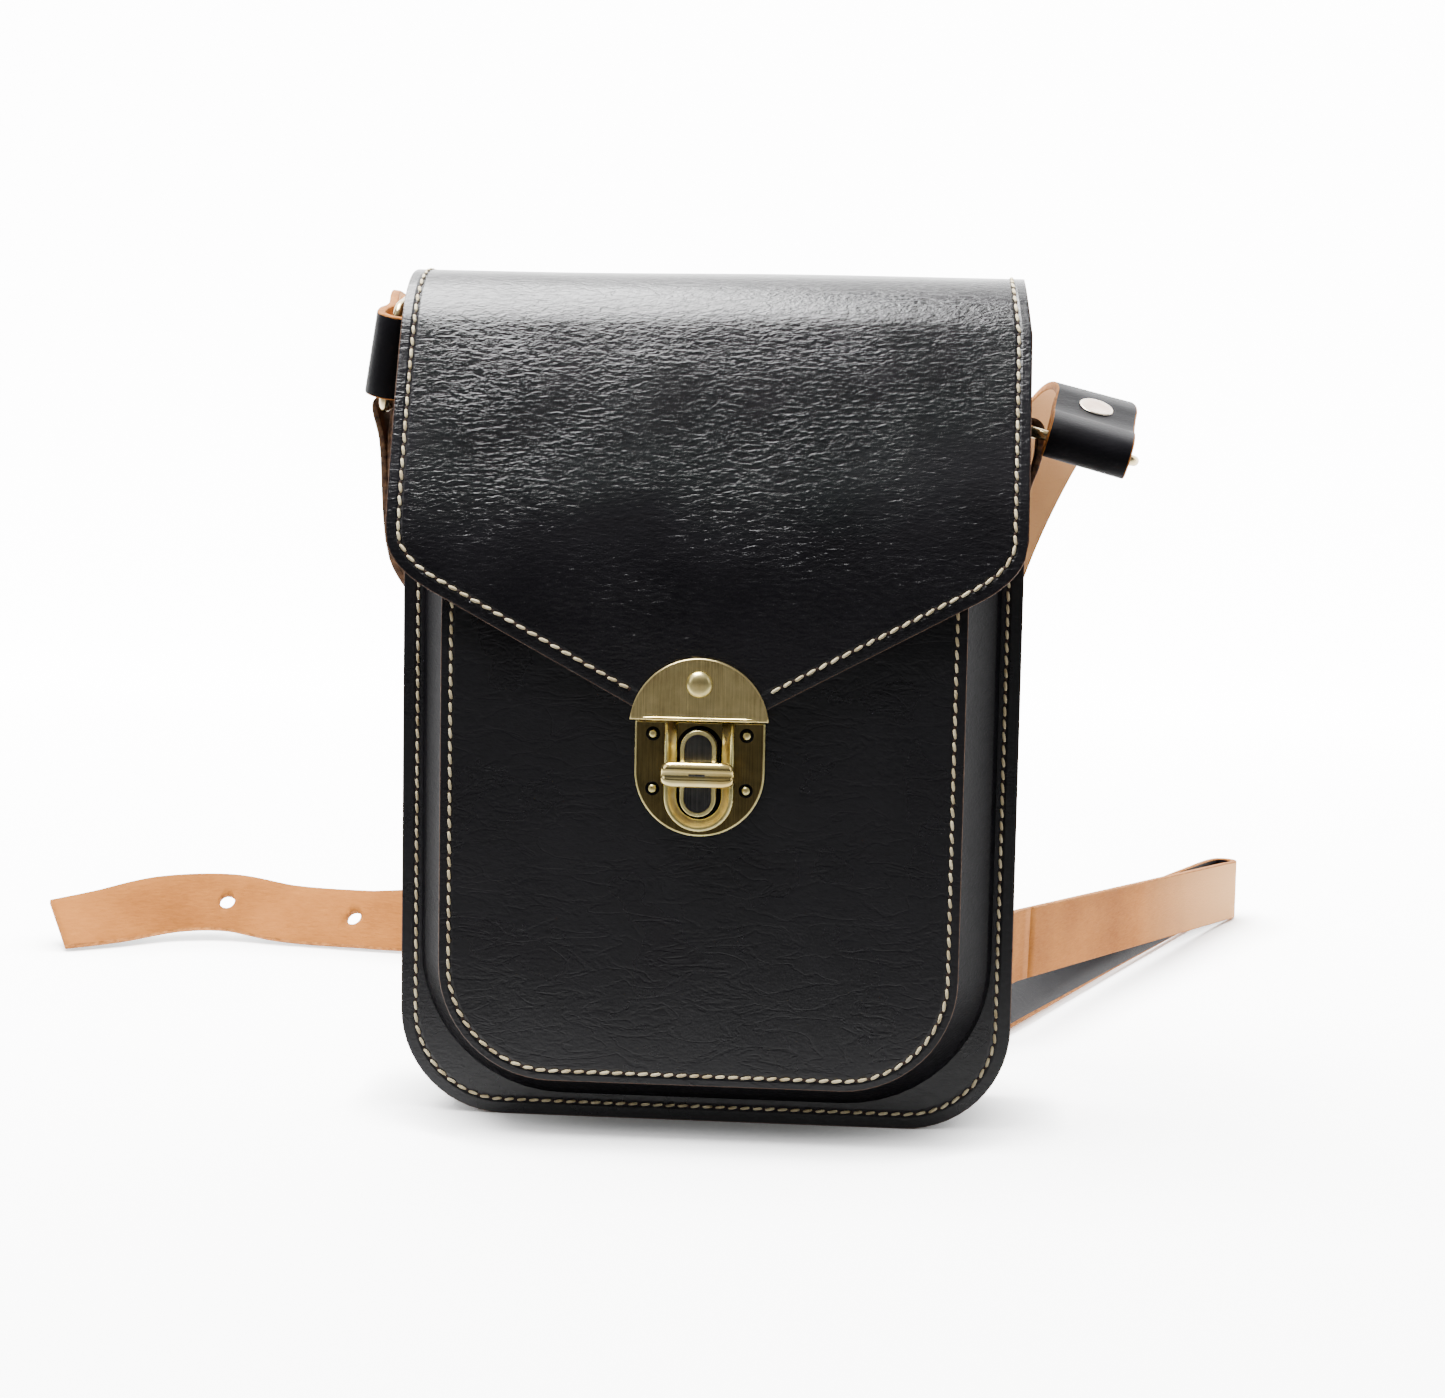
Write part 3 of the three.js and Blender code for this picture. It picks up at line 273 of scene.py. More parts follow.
MATERIALS = {
    "flap": black_leather("black_leather_flap", GROOVE["flap"], wrinkle=0.9, crease=0.15, matt=0.22),
    "panel": black_leather("black_leather_panel", GROOVE["panel"], wrinkle=0.35),
    "pocket": black_leather("black_leather_pocket", GROOVE["pocket"], wrinkle=0.35, crease=1.0),
    "gusset": black_leather("black_leather_gusset", wrinkle=0.4, crease=0.4, shine=0.08, matt=0.42),
    "strap": black_leather("black_leather_strap", wrinkle=0.3, shine=0.08, matt=0.48),
    "suede": flesh_leather("tan_suede_lining", (0.13, 0.065, 0.032), (0.24, 0.125, 0.065)),
    # the strap's back carries painted light: it is painted paler far back and high up
    "tan": flesh_leather("tan_strap_back_painted_light", (0.24, 0.082, 0.016), (0.40, 0.150, 0.030),
                         (0.66, 0.36, 0.16), (0.60, 0.31, 0.14)),
    # painted shade: the tongue's back is a darker copy of the strap's back, darkened to offset the bright
    # light that falls on the tongue
    "tongue": flesh_leather("tan_tongue_back_painted_shade", (0.22, 0.076, 0.014), (0.36, 0.132, 0.026)),
    "edge": raw_edge("raw_brown_edge"),
    "strap_edge": raw_edge("raw_strap_edge", (0.20, 0.072, 0.016), (0.42, 0.17, 0.045), 0.1),
    "thread": thread("cream_thread", (0.36, 0.27, 0.13), (0.66, 0.57, 0.36)),
    "tan_thread": thread("tan_thread", (0.42, 0.24, 0.10), (0.62, 0.38, 0.18)),
    "hole": raw_edge("needle_hole", (0.012, 0.006, 0.004), (0.035, 0.016, 0.009)),
    "brass": metal("antique_brass", (0.24, 0.175, 0.065), (0.62, 0.50, 0.23), 0.32, 1.4, 0.8),
    "plate_brass": metal("dark_antique_brass", (0.040, 0.029, 0.011), (0.15, 0.112, 0.042), 0.30, 1.4, 0.9),
    "rim_brass": metal("rubbed_brass", (0.56, 0.42, 0.16), (0.92, 0.73, 0.33), 0.30, 0.4, 0.4, 0.8),
    "bright_brass": metal("polished_brass", (0.92, 0.68, 0.24), (1.0, 0.83, 0.38), 0.16, 0.3, 0.0, 0.8),
    "ring_brass": metal("ring_brass", (0.24, 0.18, 0.09), (0.55, 0.45, 0.25), 0.24, 0.4, 0.5, 0.8),
    "black_metal": metal("black_recess", (0.004, 0.004, 0.004), (0.012, 0.011, 0.010), 0.5, 0.5, 0.1),
    "dark": metal("dark_inlay", (0.035, 0.034, 0.034), (0.085, 0.083, 0.080), 0.42, 1.0, 0.2),
    "copper": metal("pale_copper", (0.62, 0.44, 0.33), (0.86, 0.70, 0.58), 0.26, 0.6, 0.4, 0.7),
}


# ---- meshes ---------------------------------------------------------------------------------------
def link(name, data):
    """An object in the scene that shows a mesh, lamp or camera."""
    obj = bpy.data.objects.new(name, data)
    bpy.context.scene.collection.objects.link(obj)
    return obj


def make(name, verts, faces, materials, face_slots=None, edge=None):
    """An object from millimetre points; `edge` is the distance of each point to the cut edge."""
    mesh = bpy.data.meshes.new(name)
    mesh.from_pydata([tuple(Vector(v) * MM) for v in verts], [], faces)
    for m in materials:
        mesh.materials.append(MATERIALS[m])
    if face_slots is not None:
        mesh.polygons.foreach_set("material_index", face_slots)
    if edge is not None:
        attribute = mesh.attributes.new("edge_mm", "FLOAT", "POINT")
        attribute.data.foreach_set("value", np.asarray(edge, np.float32))
    mesh.polygons.foreach_set("use_smooth", [True] * len(mesh.polygons))
    mesh.update()
    return link(name, mesh)


def outward(obj):
    """Turns a closed mesh's faces outwards."""
    bm = bmesh.new()
    bm.from_mesh(obj.data)
    bmesh.ops.recalc_face_normals(bm, faces=bm.faces)
    bm.to_mesh(obj.data)
    bm.free()
    return obj


def bake_modifiers(obj):
    dg = bpy.context.evaluated_depsgraph_get()
    dg.update()
    mesh = bpy.data.meshes.new_from_object(obj.evaluated_get(dg), depsgraph=dg)
    obj.modifiers.clear()
    obj.data = mesh
    return obj


BEVEL_SEGMENTS = 2
BEVEL_ANGLE = 50  # degrees; gentler edges stay as they are


def soften(obj, width):
    """Rounds a mesh's sharp edges and keeps its large faces flat-looking."""
    bevel = obj.modifiers.new("soft", "BEVEL")
    bevel.width = width * MM
    bevel.segments = BEVEL_SEGMENTS
    bevel.limit_method = "ANGLE"
    bevel.angle_limit = math.radians(BEVEL_ANGLE)
    bevel.harden_normals = False
    return bake_modifiers(obj)


def grid_faces(rows, columns, closed=False):
    faces = []
    span = columns if closed else columns - 1
    for r in range(rows - 1):
        for c in range(span):
            d = (c + 1) % columns
            faces.append((r * columns + c, r * columns + d, (r + 1) * columns + d, (r + 1) * columns + c))
    return faces


def loft(name, rings, materials, slots=None):
    """A closed solid through rings of points, capped at both ends."""
    sides = len(rings[0])
    last = (len(rings) - 1) * sides
    faces = grid_faces(len(rings), sides, True)
    faces += [tuple(range(sides)), tuple(range(last, last + sides))]
    return outward(make(name, [v for ring in rings for v in ring], faces, materials, slots))


def sheet(name, outer, inner, faces, rim, materials, edge):
    """Leather between two surfaces that share their faces. Slots: 0 outer, 1 inner, 2 round the rim."""
    n = len(outer)
    both = list(faces) + [tuple(reversed([v + n for v in f])) for f in faces]
    around = [(a, b, b + n, a + n) for a, b in zip(rim, rim[1:] + rim[:1])]
    slots = [0] * len(faces) + [1] * len(faces) + [2] * len(around)
    return outward(make(name, outer + inner, both + around, materials, slots, [*edge, *edge]))


def tube(name, points, radius, material, sides=14, closed=False, radii=None):
    """A round wire along points, capped at both ends unless closed."""
    points = [Vector(p) for p in points]
    count = len(points)
    along = []
    for i in range(count):
        a = points[i - 1] if (i or closed) else points[0]
        b = points[(i + 1) % count] if (i + 1 < count or closed) else points[-1]
        along.append((b - a).normalized())
    side = along[0].orthogonal().normalized()
    verts = []
    for i, p in enumerate(points):
        side = (side - along[i] * side.dot(along[i])).normalized()
        up = along[i].cross(side)
        r = radii[i] if radii else radius
        for k in range(sides):
            a = 2 * math.pi * k / sides
            verts.append(p + side * (r * math.cos(a)) + up * (r * math.sin(a)))
    faces = grid_faces(count, sides, True)
    if closed:
        last = (count - 1) * sides
        # the frame may have turned a little on the way round, so join to the nearest start
        shift = min(range(sides), key=lambda k: (verts[last] - verts[k]).length)
        for k in range(sides):
            faces.append((last + k, last + (k + 1) % sides, (k + 1 + shift) % sides, (k + shift) % sides))
    else:
        faces.append(tuple(reversed(range(sides))))
        faces.append(tuple(range((count - 1) * sides, count * sides)))
    return outward(make(name, verts, faces, [material]))


def join_objects(name, objects):
    """One mesh from several, keeping their material slots and attributes."""
    bm = bmesh.new()
    slots = []
    for o in objects:
        mesh = o.data.copy()
        lookup = []
        for m in mesh.materials:
            if m not in slots:
                slots.append(m)
            lookup.append(slots.index(m))
        for p in mesh.polygons:
            p.material_index = lookup[p.material_index]
        bm.from_mesh(mesh)
        bpy.data.meshes.remove(mesh)
    merged = bpy.data.meshes.new(name)
    bm.to_mesh(merged)
    bm.free()
    for m in slots:
        merged.materials.append(m)
    for o in objects:
        bpy.data.objects.remove(o)
    return link(name, merged)


# ---- stitches -------------------------------------------------------------------------------------
STITCH_PITCH = 3.6
STITCH_LENGTH = 2.85
STITCH_RADIUS = 0.46
HOLE_LENGTH = 1.0


def resample(points, step):
    """Positions and their fractional indices at equal distances along a polyline."""
    p = np.array([tuple(v) for v in points], float)
    lengths = np.concatenate([[0], np.cumsum(np.linalg.norm(np.diff(p, axis=0), axis=1))])
    count = max(1, int(round(lengths[-1] / step)))
    at = (np.arange(count) + 0.5) * lengths[-1] / count
    index = np.interp(at, lengths, np.arange(len(p)))
    return [Vector([np.interp(a, lengths, p[:, k]) for k in range(3)]) for a in at], index


def blob(verts, faces, centre, along, up, length, width, height, rings=6, sides=8):
    """Adds an elongated pillow to a mesh under construction."""
    side = along.cross(up).normalized()
    start = len(verts)
    verts.append(centre - along * (length / 2))
    for r in range(1, rings):
        a = math.pi * r / rings
        swell = math.sin(a) ** 0.6
        for k in range(sides):
            b = 2 * math.pi * k / sides
            verts.append(
                centre
                - along * (length / 2 * math.cos(a))
                + side * (width * swell * math.cos(b))
                + up * (height * swell * math.sin(b))
            )
    verts.append(centre + along * (length / 2))
    end = len(verts) - 1
    for k in range(sides):
        m = (k + 1) % sides
        faces.append((start, start + 1 + m, start + 1 + k))
        faces.append((end, end - sides + k, end - sides + m))
    for r in range(rings - 2):
        for k in range(sides):
            m = (k + 1) % sides
            a, b = start + 1 + r * sides, start + 1 + (r + 1) * sides
            faces.append((a + k, a + m, b + m, b + k))


def stitches(name, path, normals, keep=None, thread_slot="thread", slant=0.16):
    """Two meshes along a path on a surface: the stitches, and the needle holes between them."""
    centres, index = resample(path, STITCH_PITCH)
    normals = np.array([tuple(n) for n in normals], float)
    put = {"thread": ([], []), "hole": ([], [])}
    step = 0.02
    for n, (c, i) in enumerate(zip(centres, index)):
        if keep and not keep(c):
            continue
        up = Vector([np.interp(i, np.arange(len(normals)), normals[:, k]) for k in range(3)]).normalized()
        j = min(i + step, len(path) - 1)
        k = max(i - step, 0)
        ahead = path_at(path, j) - path_at(path, k)
        along = (ahead - up * ahead.dot(up)).normalized()
        turn = Matrix.Rotation(slant + rng.uniform(-0.06, 0.06), 3, up)
        length = STITCH_LENGTH * rng.uniform(0.94, 1.04)
        blob(*put["thread"], c + up * 0.14, turn @ along, up, length, STITCH_RADIUS, 0.40)
        between = c + along * (STITCH_PITCH / 2) + up * 0.02
        blob(*put["hole"], between, along, up, HOLE_LENGTH, 0.5, 0.07, 4, 8)
    made = []
    for kind, (verts, faces) in put.items():
        slot_name = thread_slot if kind == "thread" else "hole"
        made.append(outward(make(f"{name}_{kind}", verts, faces, [slot_name])))
    return join_objects(name, made)


def path_at(path, index):
    i = min(int(index), len(path) - 2)
    return Vector(path[i]).lerp(Vector(path[i + 1]), index - i)


# ---- panels of the main compartment and pocket ---------------------------------------------------
PANEL_BEVEL = 0.32
PANEL_INSETS = [0.0, 0.35, 0.9, 1.7, 2.6, 3.4, 4.1, 4.8, 5.6, 7.0, 9.5]


def u_path(half, bottom, top, corner, side_steps=44, corner_steps=14, floor_steps=60):
    """Right side down, round the corner, along the bottom, and up the left side, as (x, z)."""
    right = [(half, top + (bottom + corner - top) * i / side_steps) for i in range(side_steps)]
    for i in range(corner_steps + 1):
        a = math.pi / 2 * i / corner_steps
        right.append((half - corner + corner * math.cos(a), bottom + corner - corner * math.sin(a)))
    x = half - corner
    floor = [(x - 2 * x * i / floor_steps, bottom) for i in range(1, floor_steps)]
    left = [(-a, b) for a, b in reversed(right)]
    return right + floor + left, len(right)


def panel(name, half, bottom, top, corner, surface, thickness, materials):
    """A U-shaped leather panel. surface(x, z) gives the outer face's y and its outward normal's sign."""
    floor_steps = 60
    rings = []
    for d in PANEL_INSETS:
        ring, right = u_path(half - d, bottom + d, top, max(corner - d, 3), floor_steps=floor_steps)
        rings.append(ring)
    count = len(rings[0])
    points = [p for ring in rings for p in ring]
    edge = [PANEL_INSETS[r] for r in range(len(rings)) for _ in range(count)]
    faces = grid_faces(len(rings), count)
    # The middle: one row across for each point down the right side and corner.
    inner = (len(rings) - 1) * count
    columns = floor_steps - 1
    first = len(points)
    for i in range(right - 1):
        (xr, zr), (xl, _) = rings[-1][i], rings[-1][count - 1 - i]
        for c in range(1, columns + 1):
            t = c / (columns + 1)
            points.append((xr + (xl - xr) * t, zr))
            edge.append(PANEL_INSETS[-1] + min(t, 1 - t) * (xr - xl))

    def row(i):
        middle = [first + i * columns + c for c in range(columns)]
        if i == right - 1:
            middle = [inner + right + c for c in range(columns)]
        return [inner + i, *middle, inner + count - 1 - i]

    for i in range(right - 1):
        upper, lower = row(i), row(i + 1)
        for a, b, c, d in zip(upper, upper[1:], lower[1:], lower):
            faces.append((a, b, c, d))
    _, sign = surface(0, (top + bottom) / 2)
    outer = [Vector((x, surface(x, z)[0], z)) for x, z in points]
    back = [Vector((x, surface(x, z)[0] - sign * thickness, z)) for x, z in points]
    rim = list(range(count))
    top_left = [r * count + count - 1 for r in range(len(rings))]
    top_row = row(0)
    top_right = [r * count for r in reversed(range(len(rings)))]
    loop = rim + top_left[1:] + list(reversed(top_row))[1:] + top_right[1:-1]
    return soften(sheet(name, outer, back, faces, loop, materials, edge), PANEL_BEVEL)


def channel(name, base, profile, thickness, materials, y_shift=None, sag=None):
    """A folded leather wall: profile is a list of (offset outwards, y) from the U path `base`
    (half width, bottom, top, corner); thickness is laid on the inner side. sag(y) lowers the bottom."""
    half, bottom, top, corner = base
    pts = np.array(profile, float)
    tangent = np.gradient(pts, axis=0)
    tangent /= np.linalg.norm(tangent, axis=1)[:, None]
    # inward side of the profile: towards smaller offset for a wall that runs along +y
    normal = np.stack([-tangent[:, 1], tangent[:, 0]], axis=1)
    inner = pts + normal * thickness
    loop = list(map(tuple, pts)) + list(map(tuple, inner[::-1]))
    rings = []
    for off, y in loop:
        drop = sag(y) if sag else 0.0
        path, _ = u_path(half + off, bottom - off - drop, top, max(corner + off, 1.5), 30, 12, 34)
        rings.append([Vector((x, y + (y_shift(z, y) if y_shift else 0), z)) for x, z in path])
    count = len(rings[0])
    verts = [v for ring in rings for v in ring]
    faces = grid_faces(len(rings), count)
    slots = []
    m = len(profile)
    for r in range(len(rings) - 1):
        kind = 0 if r < m - 1 else (2 if r == m - 1 else 1)
        slots += [kind] * (count - 1)
    last = (len(rings) - 1) * count
    for c in range(count - 1):
        faces.append((last + c, last + c + 1, c + 1, c))
        slots.append(2)
    for c in (0, count - 1):
        for r in range(m - 1):
            a, b = r * count + c, (r + 1) * count + c
            d, e = (len(rings) - 1 - r) * count + c, (len(rings) - 2 - r) * count + c
            faces.append((a, b, e, d))
            slots.append(2)
    return outward(make(name, verts, faces, materials, slots))


# ---- body ---------------------------------------------------------------------------------------
BODY_CORNER = 30
LEATHER = 2.0
BODY_BULGE = 0.12


def body_surface(face_y, sign, bulge):
    def surface(x, z):
        wave = bulge * math.sin(z / 37.0 + 0.6) * math.cos(x / 41.0)
        return face_y + sign * wave, sign
    return surface


def build_body():
    pieces = []
    for node, side in (("back_panel", 1), ("front_panel", -1)):
        lo, hi = box(node)
        surface = body_surface(hi.y if side > 0 else lo.y, side, BODY_BULGE)
        leather = panel(f"{node}_leather", hi.x, lo.z, hi.z, BODY_CORNER, surface, LEATHER,
                        ["panel", "suede", "edge"])
        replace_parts(leather, node)
        pieces.append(leather)
    g = GROOVE["panel"]
    for node, side in (("front_panel", -1), ("back_panel", 1)):
        lo, hi = box(node)
        surface = body_surface(hi.y if side > 0 else lo.y, side, BODY_BULGE)
        line, _ = u_path(hi.x - g, lo.z + g, hi.z, BODY_CORNER - g)
        path = [Vector((x, surface(x, z)[0], z)) for x, z in line]
        pieces.append(stitches(f"{node}_stitches", path, [Vector((0, side, 0))] * len(path)))
    lo, hi = box("main_gusset")
    wall = hi.x
    flange = 4.7
    # the wall from its front flange to its back one, as (offset outwards, distance from that end)
    half_wall = [(flange, 0.1), (1.6, 0.1), (0.5, 0.7), (0.05, 2.2), (-0.25, 8), (-0.3, 14)]
    profile = [(off, lo.y + y) for off, y in half_wall]
    profile += [(-0.4, 0)] + [(off, hi.y - y) for off, y in reversed(half_wall)]
    inset = box("front_panel")[1].x - wall  # the sewn edges stand in from the panels' edges
    sewn_y, flat_y = hi.y - 0.3, 12.0

    def sag(y):
        t = min(1.0, max(0.0, (sewn_y - abs(y)) / (sewn_y - flat_y)))
        return (inset - lo.z - 0.05) * t * t * (3 - 2 * t)

    body_gusset = channel("main_gusset_leather", (wall, inset, hi.z, BODY_CORNER - inset), profile, 1.7,
                          ["gusset", "suede", "edge"], sag=sag)
    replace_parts(body_gusset, "main_gusset")
    pieces.append(body_gusset)
    for piece in pieces:
        place(piece, "bag", "black_leather")


POCKET_CORNER = 32
# How far the pocket front leans back towards its top edge: (height, shift in y).
POCKET_LEAN = [(10, 0), (138, 0), (150, 0.5), (162, 2.2), (176, 5.5)]


def lean(z):
    heights, shifts = zip(*POCKET_LEAN)
    return float(np.interp(z, heights, shifts))


def build_pocket():
    lo, hi = box("pocket_front")
    front_y = lo.y + 0.05

    def surface(x, z):
        sag = 0.16 * math.sin(x / 23.0 + 1.0) * math.sin(z / 31.0)
        return front_y + lean(z) + 0.1 + sag * 0.6, -1

    front = panel("pocket_front_leather", hi.x, lo.z, hi.z, POCKET_CORNER, surface, LEATHER,
                  ["pocket", "suede", "edge"])
    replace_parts(front, "pocket_front")
    g = GROOVE["pocket"]
    line, _ = u_path(hi.x - g, lo.z + g, hi.z, POCKET_CORNER - g)
    path = [Vector((x, surface(x, z)[0], z)) for x, z in line]
    sewn = stitches("pocket_stitches", path, [Vector((0, -1, 0))] * len(path))

    _, ghi = box("pocket_gusset")
    flare = ghi.x - hi.x
    y0, y1 = front_y + LEATHER + 0.35, ghi.y
    depth = y1 - y0
    profile = [(-0.5, y0 + 0.05), (-3.0, y0 + 0.1), (-4.0, y0 + 0.9), (-4.1, y0 + 2.2)]
    for i in range(1, 11):
        t = i / 10
        profile.append((-4.1 + (flare + 4.1 - 1.0) * t ** 1.15 + 1.0 * t, y0 + 2.2 + (depth - 2.2) * t))

    def follow(z, y):
        share = max(0.0, min(1.0, (y1 - y) / depth))
        return lean(z) * share

    wall = channel("pocket_gusset_leather", (hi.x, lo.z, ghi.z, POCKET_CORNER), profile, 1.6,
                   ["gusset", "suede", "edge"], follow)
    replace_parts(wall, "pocket_gusset")
    for piece in (front, sewn, wall):
        place(piece, "bag", "black_leather")


# ---- flap ----------------------------------------------------------------------------------------
# Outer face from the edge sewn to the back, over the roll and down the front, as (y, z).
FLAP_PROFILE = [
    (24.9, 196), (24.9, 208), (24.9, 220), (24.8, 230), (23.6, 236.6), (20.2, 240.4), (14, 242.2), (4, 243.2),
    (-5, 243), (-13, 241), (-20, 236.6), (-25.6, 230), (-30.5, 220), (-35.5, 208), (-41, 193), (-46, 178),
    (-49.6, 162), (-51.2, 146), (-51.4, 132), (-51.4, 119),
]
FLAP_SEAM_Y = 7.0  # the two leather pieces meet here, on the flap's rigid top
FLAP_SHOULDER = (76, 153.7)
FLAP_SIDE_END = 170
FLAP_TIP = (15, 121)
FLAP_BEVEL = 0.3
LINING = 0.9
SEWN_ROWS = (200.5, 224.0)  # heights of the stitches that hold the flap to the back panel


def catmull(points, t):
    """Centripetal Catmull-Rom through points, t from 0 to 1 spread evenly over the spans."""
    points = [np.array(p, float) for p in points]
    at = t * (len(points) - 1)
    i = min(int(at), len(points) - 2)
    w = at - i
    p1, p2 = points[i], points[i + 1]
    p0 = points[i - 1] if i > 0 else 2 * p1 - p2
    p3 = points[i + 2] if i + 2 < len(points) else 2 * p2 - p1
    d0, d1, d2 = (max(np.linalg.norm(b - a) ** 0.5, 1e-4) for a, b in ((p0, p1), (p1, p2), (p2, p3)))
    m1 = ((p1 - p0) / d0 - (p2 - p0) / (d0 + d1) + (p2 - p1) / d1) * d1
    m2 = ((p2 - p1) / d1 - (p3 - p1) / (d1 + d2) + (p3 - p2) / d2) * d1
    c2 = -3 * p1 + 3 * p2 - 2 * m1 - m2
    c3 = 2 * p1 - 2 * p2 + m1 + m2
    return p1 + m1 * w + c2 * w * w + c3 * w ** 3


class Profile:
    """A (y, z) curve measured by its length, with its outward normal."""

    def __init__(self, points, samples=900):
        self.p = np.array([catmull(points, i / samples) for i in range(samples + 1)])
        self.s = np.concatenate([[0], np.cumsum(np.linalg.norm(np.diff(self.p, axis=0), axis=1))])
        d = np.gradient(self.p, axis=0)
        d /= np.linalg.norm(d, axis=1)[:, None]
        self.n = np.stack([d[:, 1], -d[:, 0]], axis=1)

    def at(self, s):
        y, z = np.interp(s, self.s, self.p[:, 0]), np.interp(s, self.s, self.p[:, 1])
        n = np.array([np.interp(s, self.s, self.n[:, 0]), np.interp(s, self.s, self.n[:, 1])])
        return np.array([y, z]), n / np.linalg.norm(n)

    def length_at_height(self, z):
        """Length along the front at a height."""
        front = self.p[:, 0] < 0
        return float(np.interp(-z, -self.p[front, 1], self.s[front]))

    def length_at_depth(self, y):
        return float(np.interp(-y, -self.p[:, 0], self.s))


profile = Profile(FLAP_PROFILE)


def flap_edge_height(x, half):
    """Height of the flap's lower edge at a distance from the middle."""
    x = abs(x)
    if x <= FLAP_TIP[0] + 5:
        k = max(0.0, (x - FLAP_TIP[0] + 3) / 8)
        return FLAP_TIP[1] + 2.6 * k * k
    sx, sz = FLAP_SHOULDER
    if x <= sx:
        t = (x - FLAP_TIP[0] - 5) / (sx - FLAP_TIP[0] - 5)
        return FLAP_TIP[1] + 2.6 + (sz - FLAP_TIP[1] - 2.6) * t
    # a quadratic curve from the shoulder to the straight side
    u = (x - sx) / (half - sx)
    t = 1 - math.sqrt(max(0.0, 1 - u))
    zc = sz + 7
    return (1 - t) ** 2 * sz + 2 * t * (1 - t) * zc + t * t * FLAP_SIDE_END


def flap_wave(x, s, half):
    """Gentle unevenness of the leather, in millimetres outwards."""
    side = abs(x) / half
    roll = 0.18 * math.sin(x / 19.0 + 0.5) * math.exp(-((s - 62) / 22) ** 2)
    return roll + 0.22 * side ** 6 * math.sin(s / 17.0 + (1 if x > 0 else 2.3))


FLAP_TAPER = 2.0  # the right side draws in by this much over the roll
FLAP_TAPER_Z = (226, 242)


def flap_point(x, s, depth, half):
    p, n = profile.at(s)
    rolled = 1.0 if p[0] > 0 else float(np.interp(p[1], FLAP_TAPER_Z, (0, 1)))
    x -= FLAP_TAPER * rolled * max(x, 0.0) / half
    d = flap_wave(x, s, half) * min(1.0, max(0.0, (s - 44) / 20)) - depth
    return Vector((x, p[0] + n[0] * d, p[1] + n[1] * d))


def flap_outline(half, s_start):
    """The flap piece's edge in the (x, s) sheet, for distances to the cut edge."""
    end = half * 0.85  # the corners beyond it get more points
    xs = np.concatenate([
        np.linspace(-half, -end, 40), np.linspace(-end, end, 160)[1:-1], np.linspace(end, half, 40),
    ])
    bottom = [(x, profile.length_at_height(flap_edge_height(x, half))) for x in xs]
    side = profile.length_at_height(FLAP_SIDE_END)
    left = [(-half, s) for s in np.linspace(s_start, side, 60)]
    right = [(half, s) for s in np.linspace(side, s_start, 60)]
    return left + bottom + right


def distance_to(points, outline):
    p = np.array(points, float)
    o = np.array(outline, float)
    best = np.full(len(p), 1e9)
    for a, b in zip(o[:-1], o[1:]):
        d = b - a
        length = d @ d
        if length < 1e-12:
            continue
        t = np.clip(((p - a) @ d) / length, 0, 1)
        best = np.minimum(best, np.linalg.norm(p - (a + t[:, None] * d), axis=1))
    return best


def flap_sheet(name, half, s0, s1, depth_out, depth_in, materials, trim=0.0):
    """A leather sheet over the profile from length s0 to s1, or to the pointed edge if s1 is None."""
    columns = 131
    t = np.linspace(-1, 1, columns)
    xs = (half - trim) * (0.72 * t + 0.28 * np.sin(t * math.pi / 2) ** 3)
    xs[0], xs[-1] = -(half - trim), half - trim
    longest = (s1 if s1 is not None else profile.s[-1]) - s0
    rows = max(12, int(longest / 1.45))
    flat = []
    for x in xs:
        end = s1
        if end is None:
            end = profile.length_at_height(flap_edge_height(abs(x) * half / (half - trim), half)) - trim
        for r in range(rows):
            flat.append((x, s0 + (end - s0) * r / (rows - 1)))
    edge = distance_to(flat, flap_outline(half, 0))
    outer = [flap_point(x, s, depth_out, half) for x, s in flat]
    inner = [flap_point(x, s, depth_in, half) for x, s in flat]
    faces = grid_faces(columns, rows)
    loop = (
        list(range(rows))
        + [c * rows + rows - 1 for c in range(1, columns)]
        + [(columns - 1) * rows + r for r in range(rows - 2, -1, -1)]
        + [c * rows for c in range(columns - 2, 0, -1)]
    )
    return sheet(name, outer, inner, faces, loop, materials, edge)


def inset_line(half, distance, s_start):
    """The flap's stitch line in the (x, s) sheet, from its left back end round to its right one."""
    outline = np.array(flap_outline(half, s_start), float)
    d = np.gradient(outline, axis=0)
    d /= np.maximum(np.linalg.norm(d, axis=1)[:, None], 1e-9)
    normal = np.stack([d[:, 1], -d[:, 0]], axis=1)
    moved = outline + normal * distance
    keep = distance_to(moved, outline) > distance - 0.25
    return moved[keep]


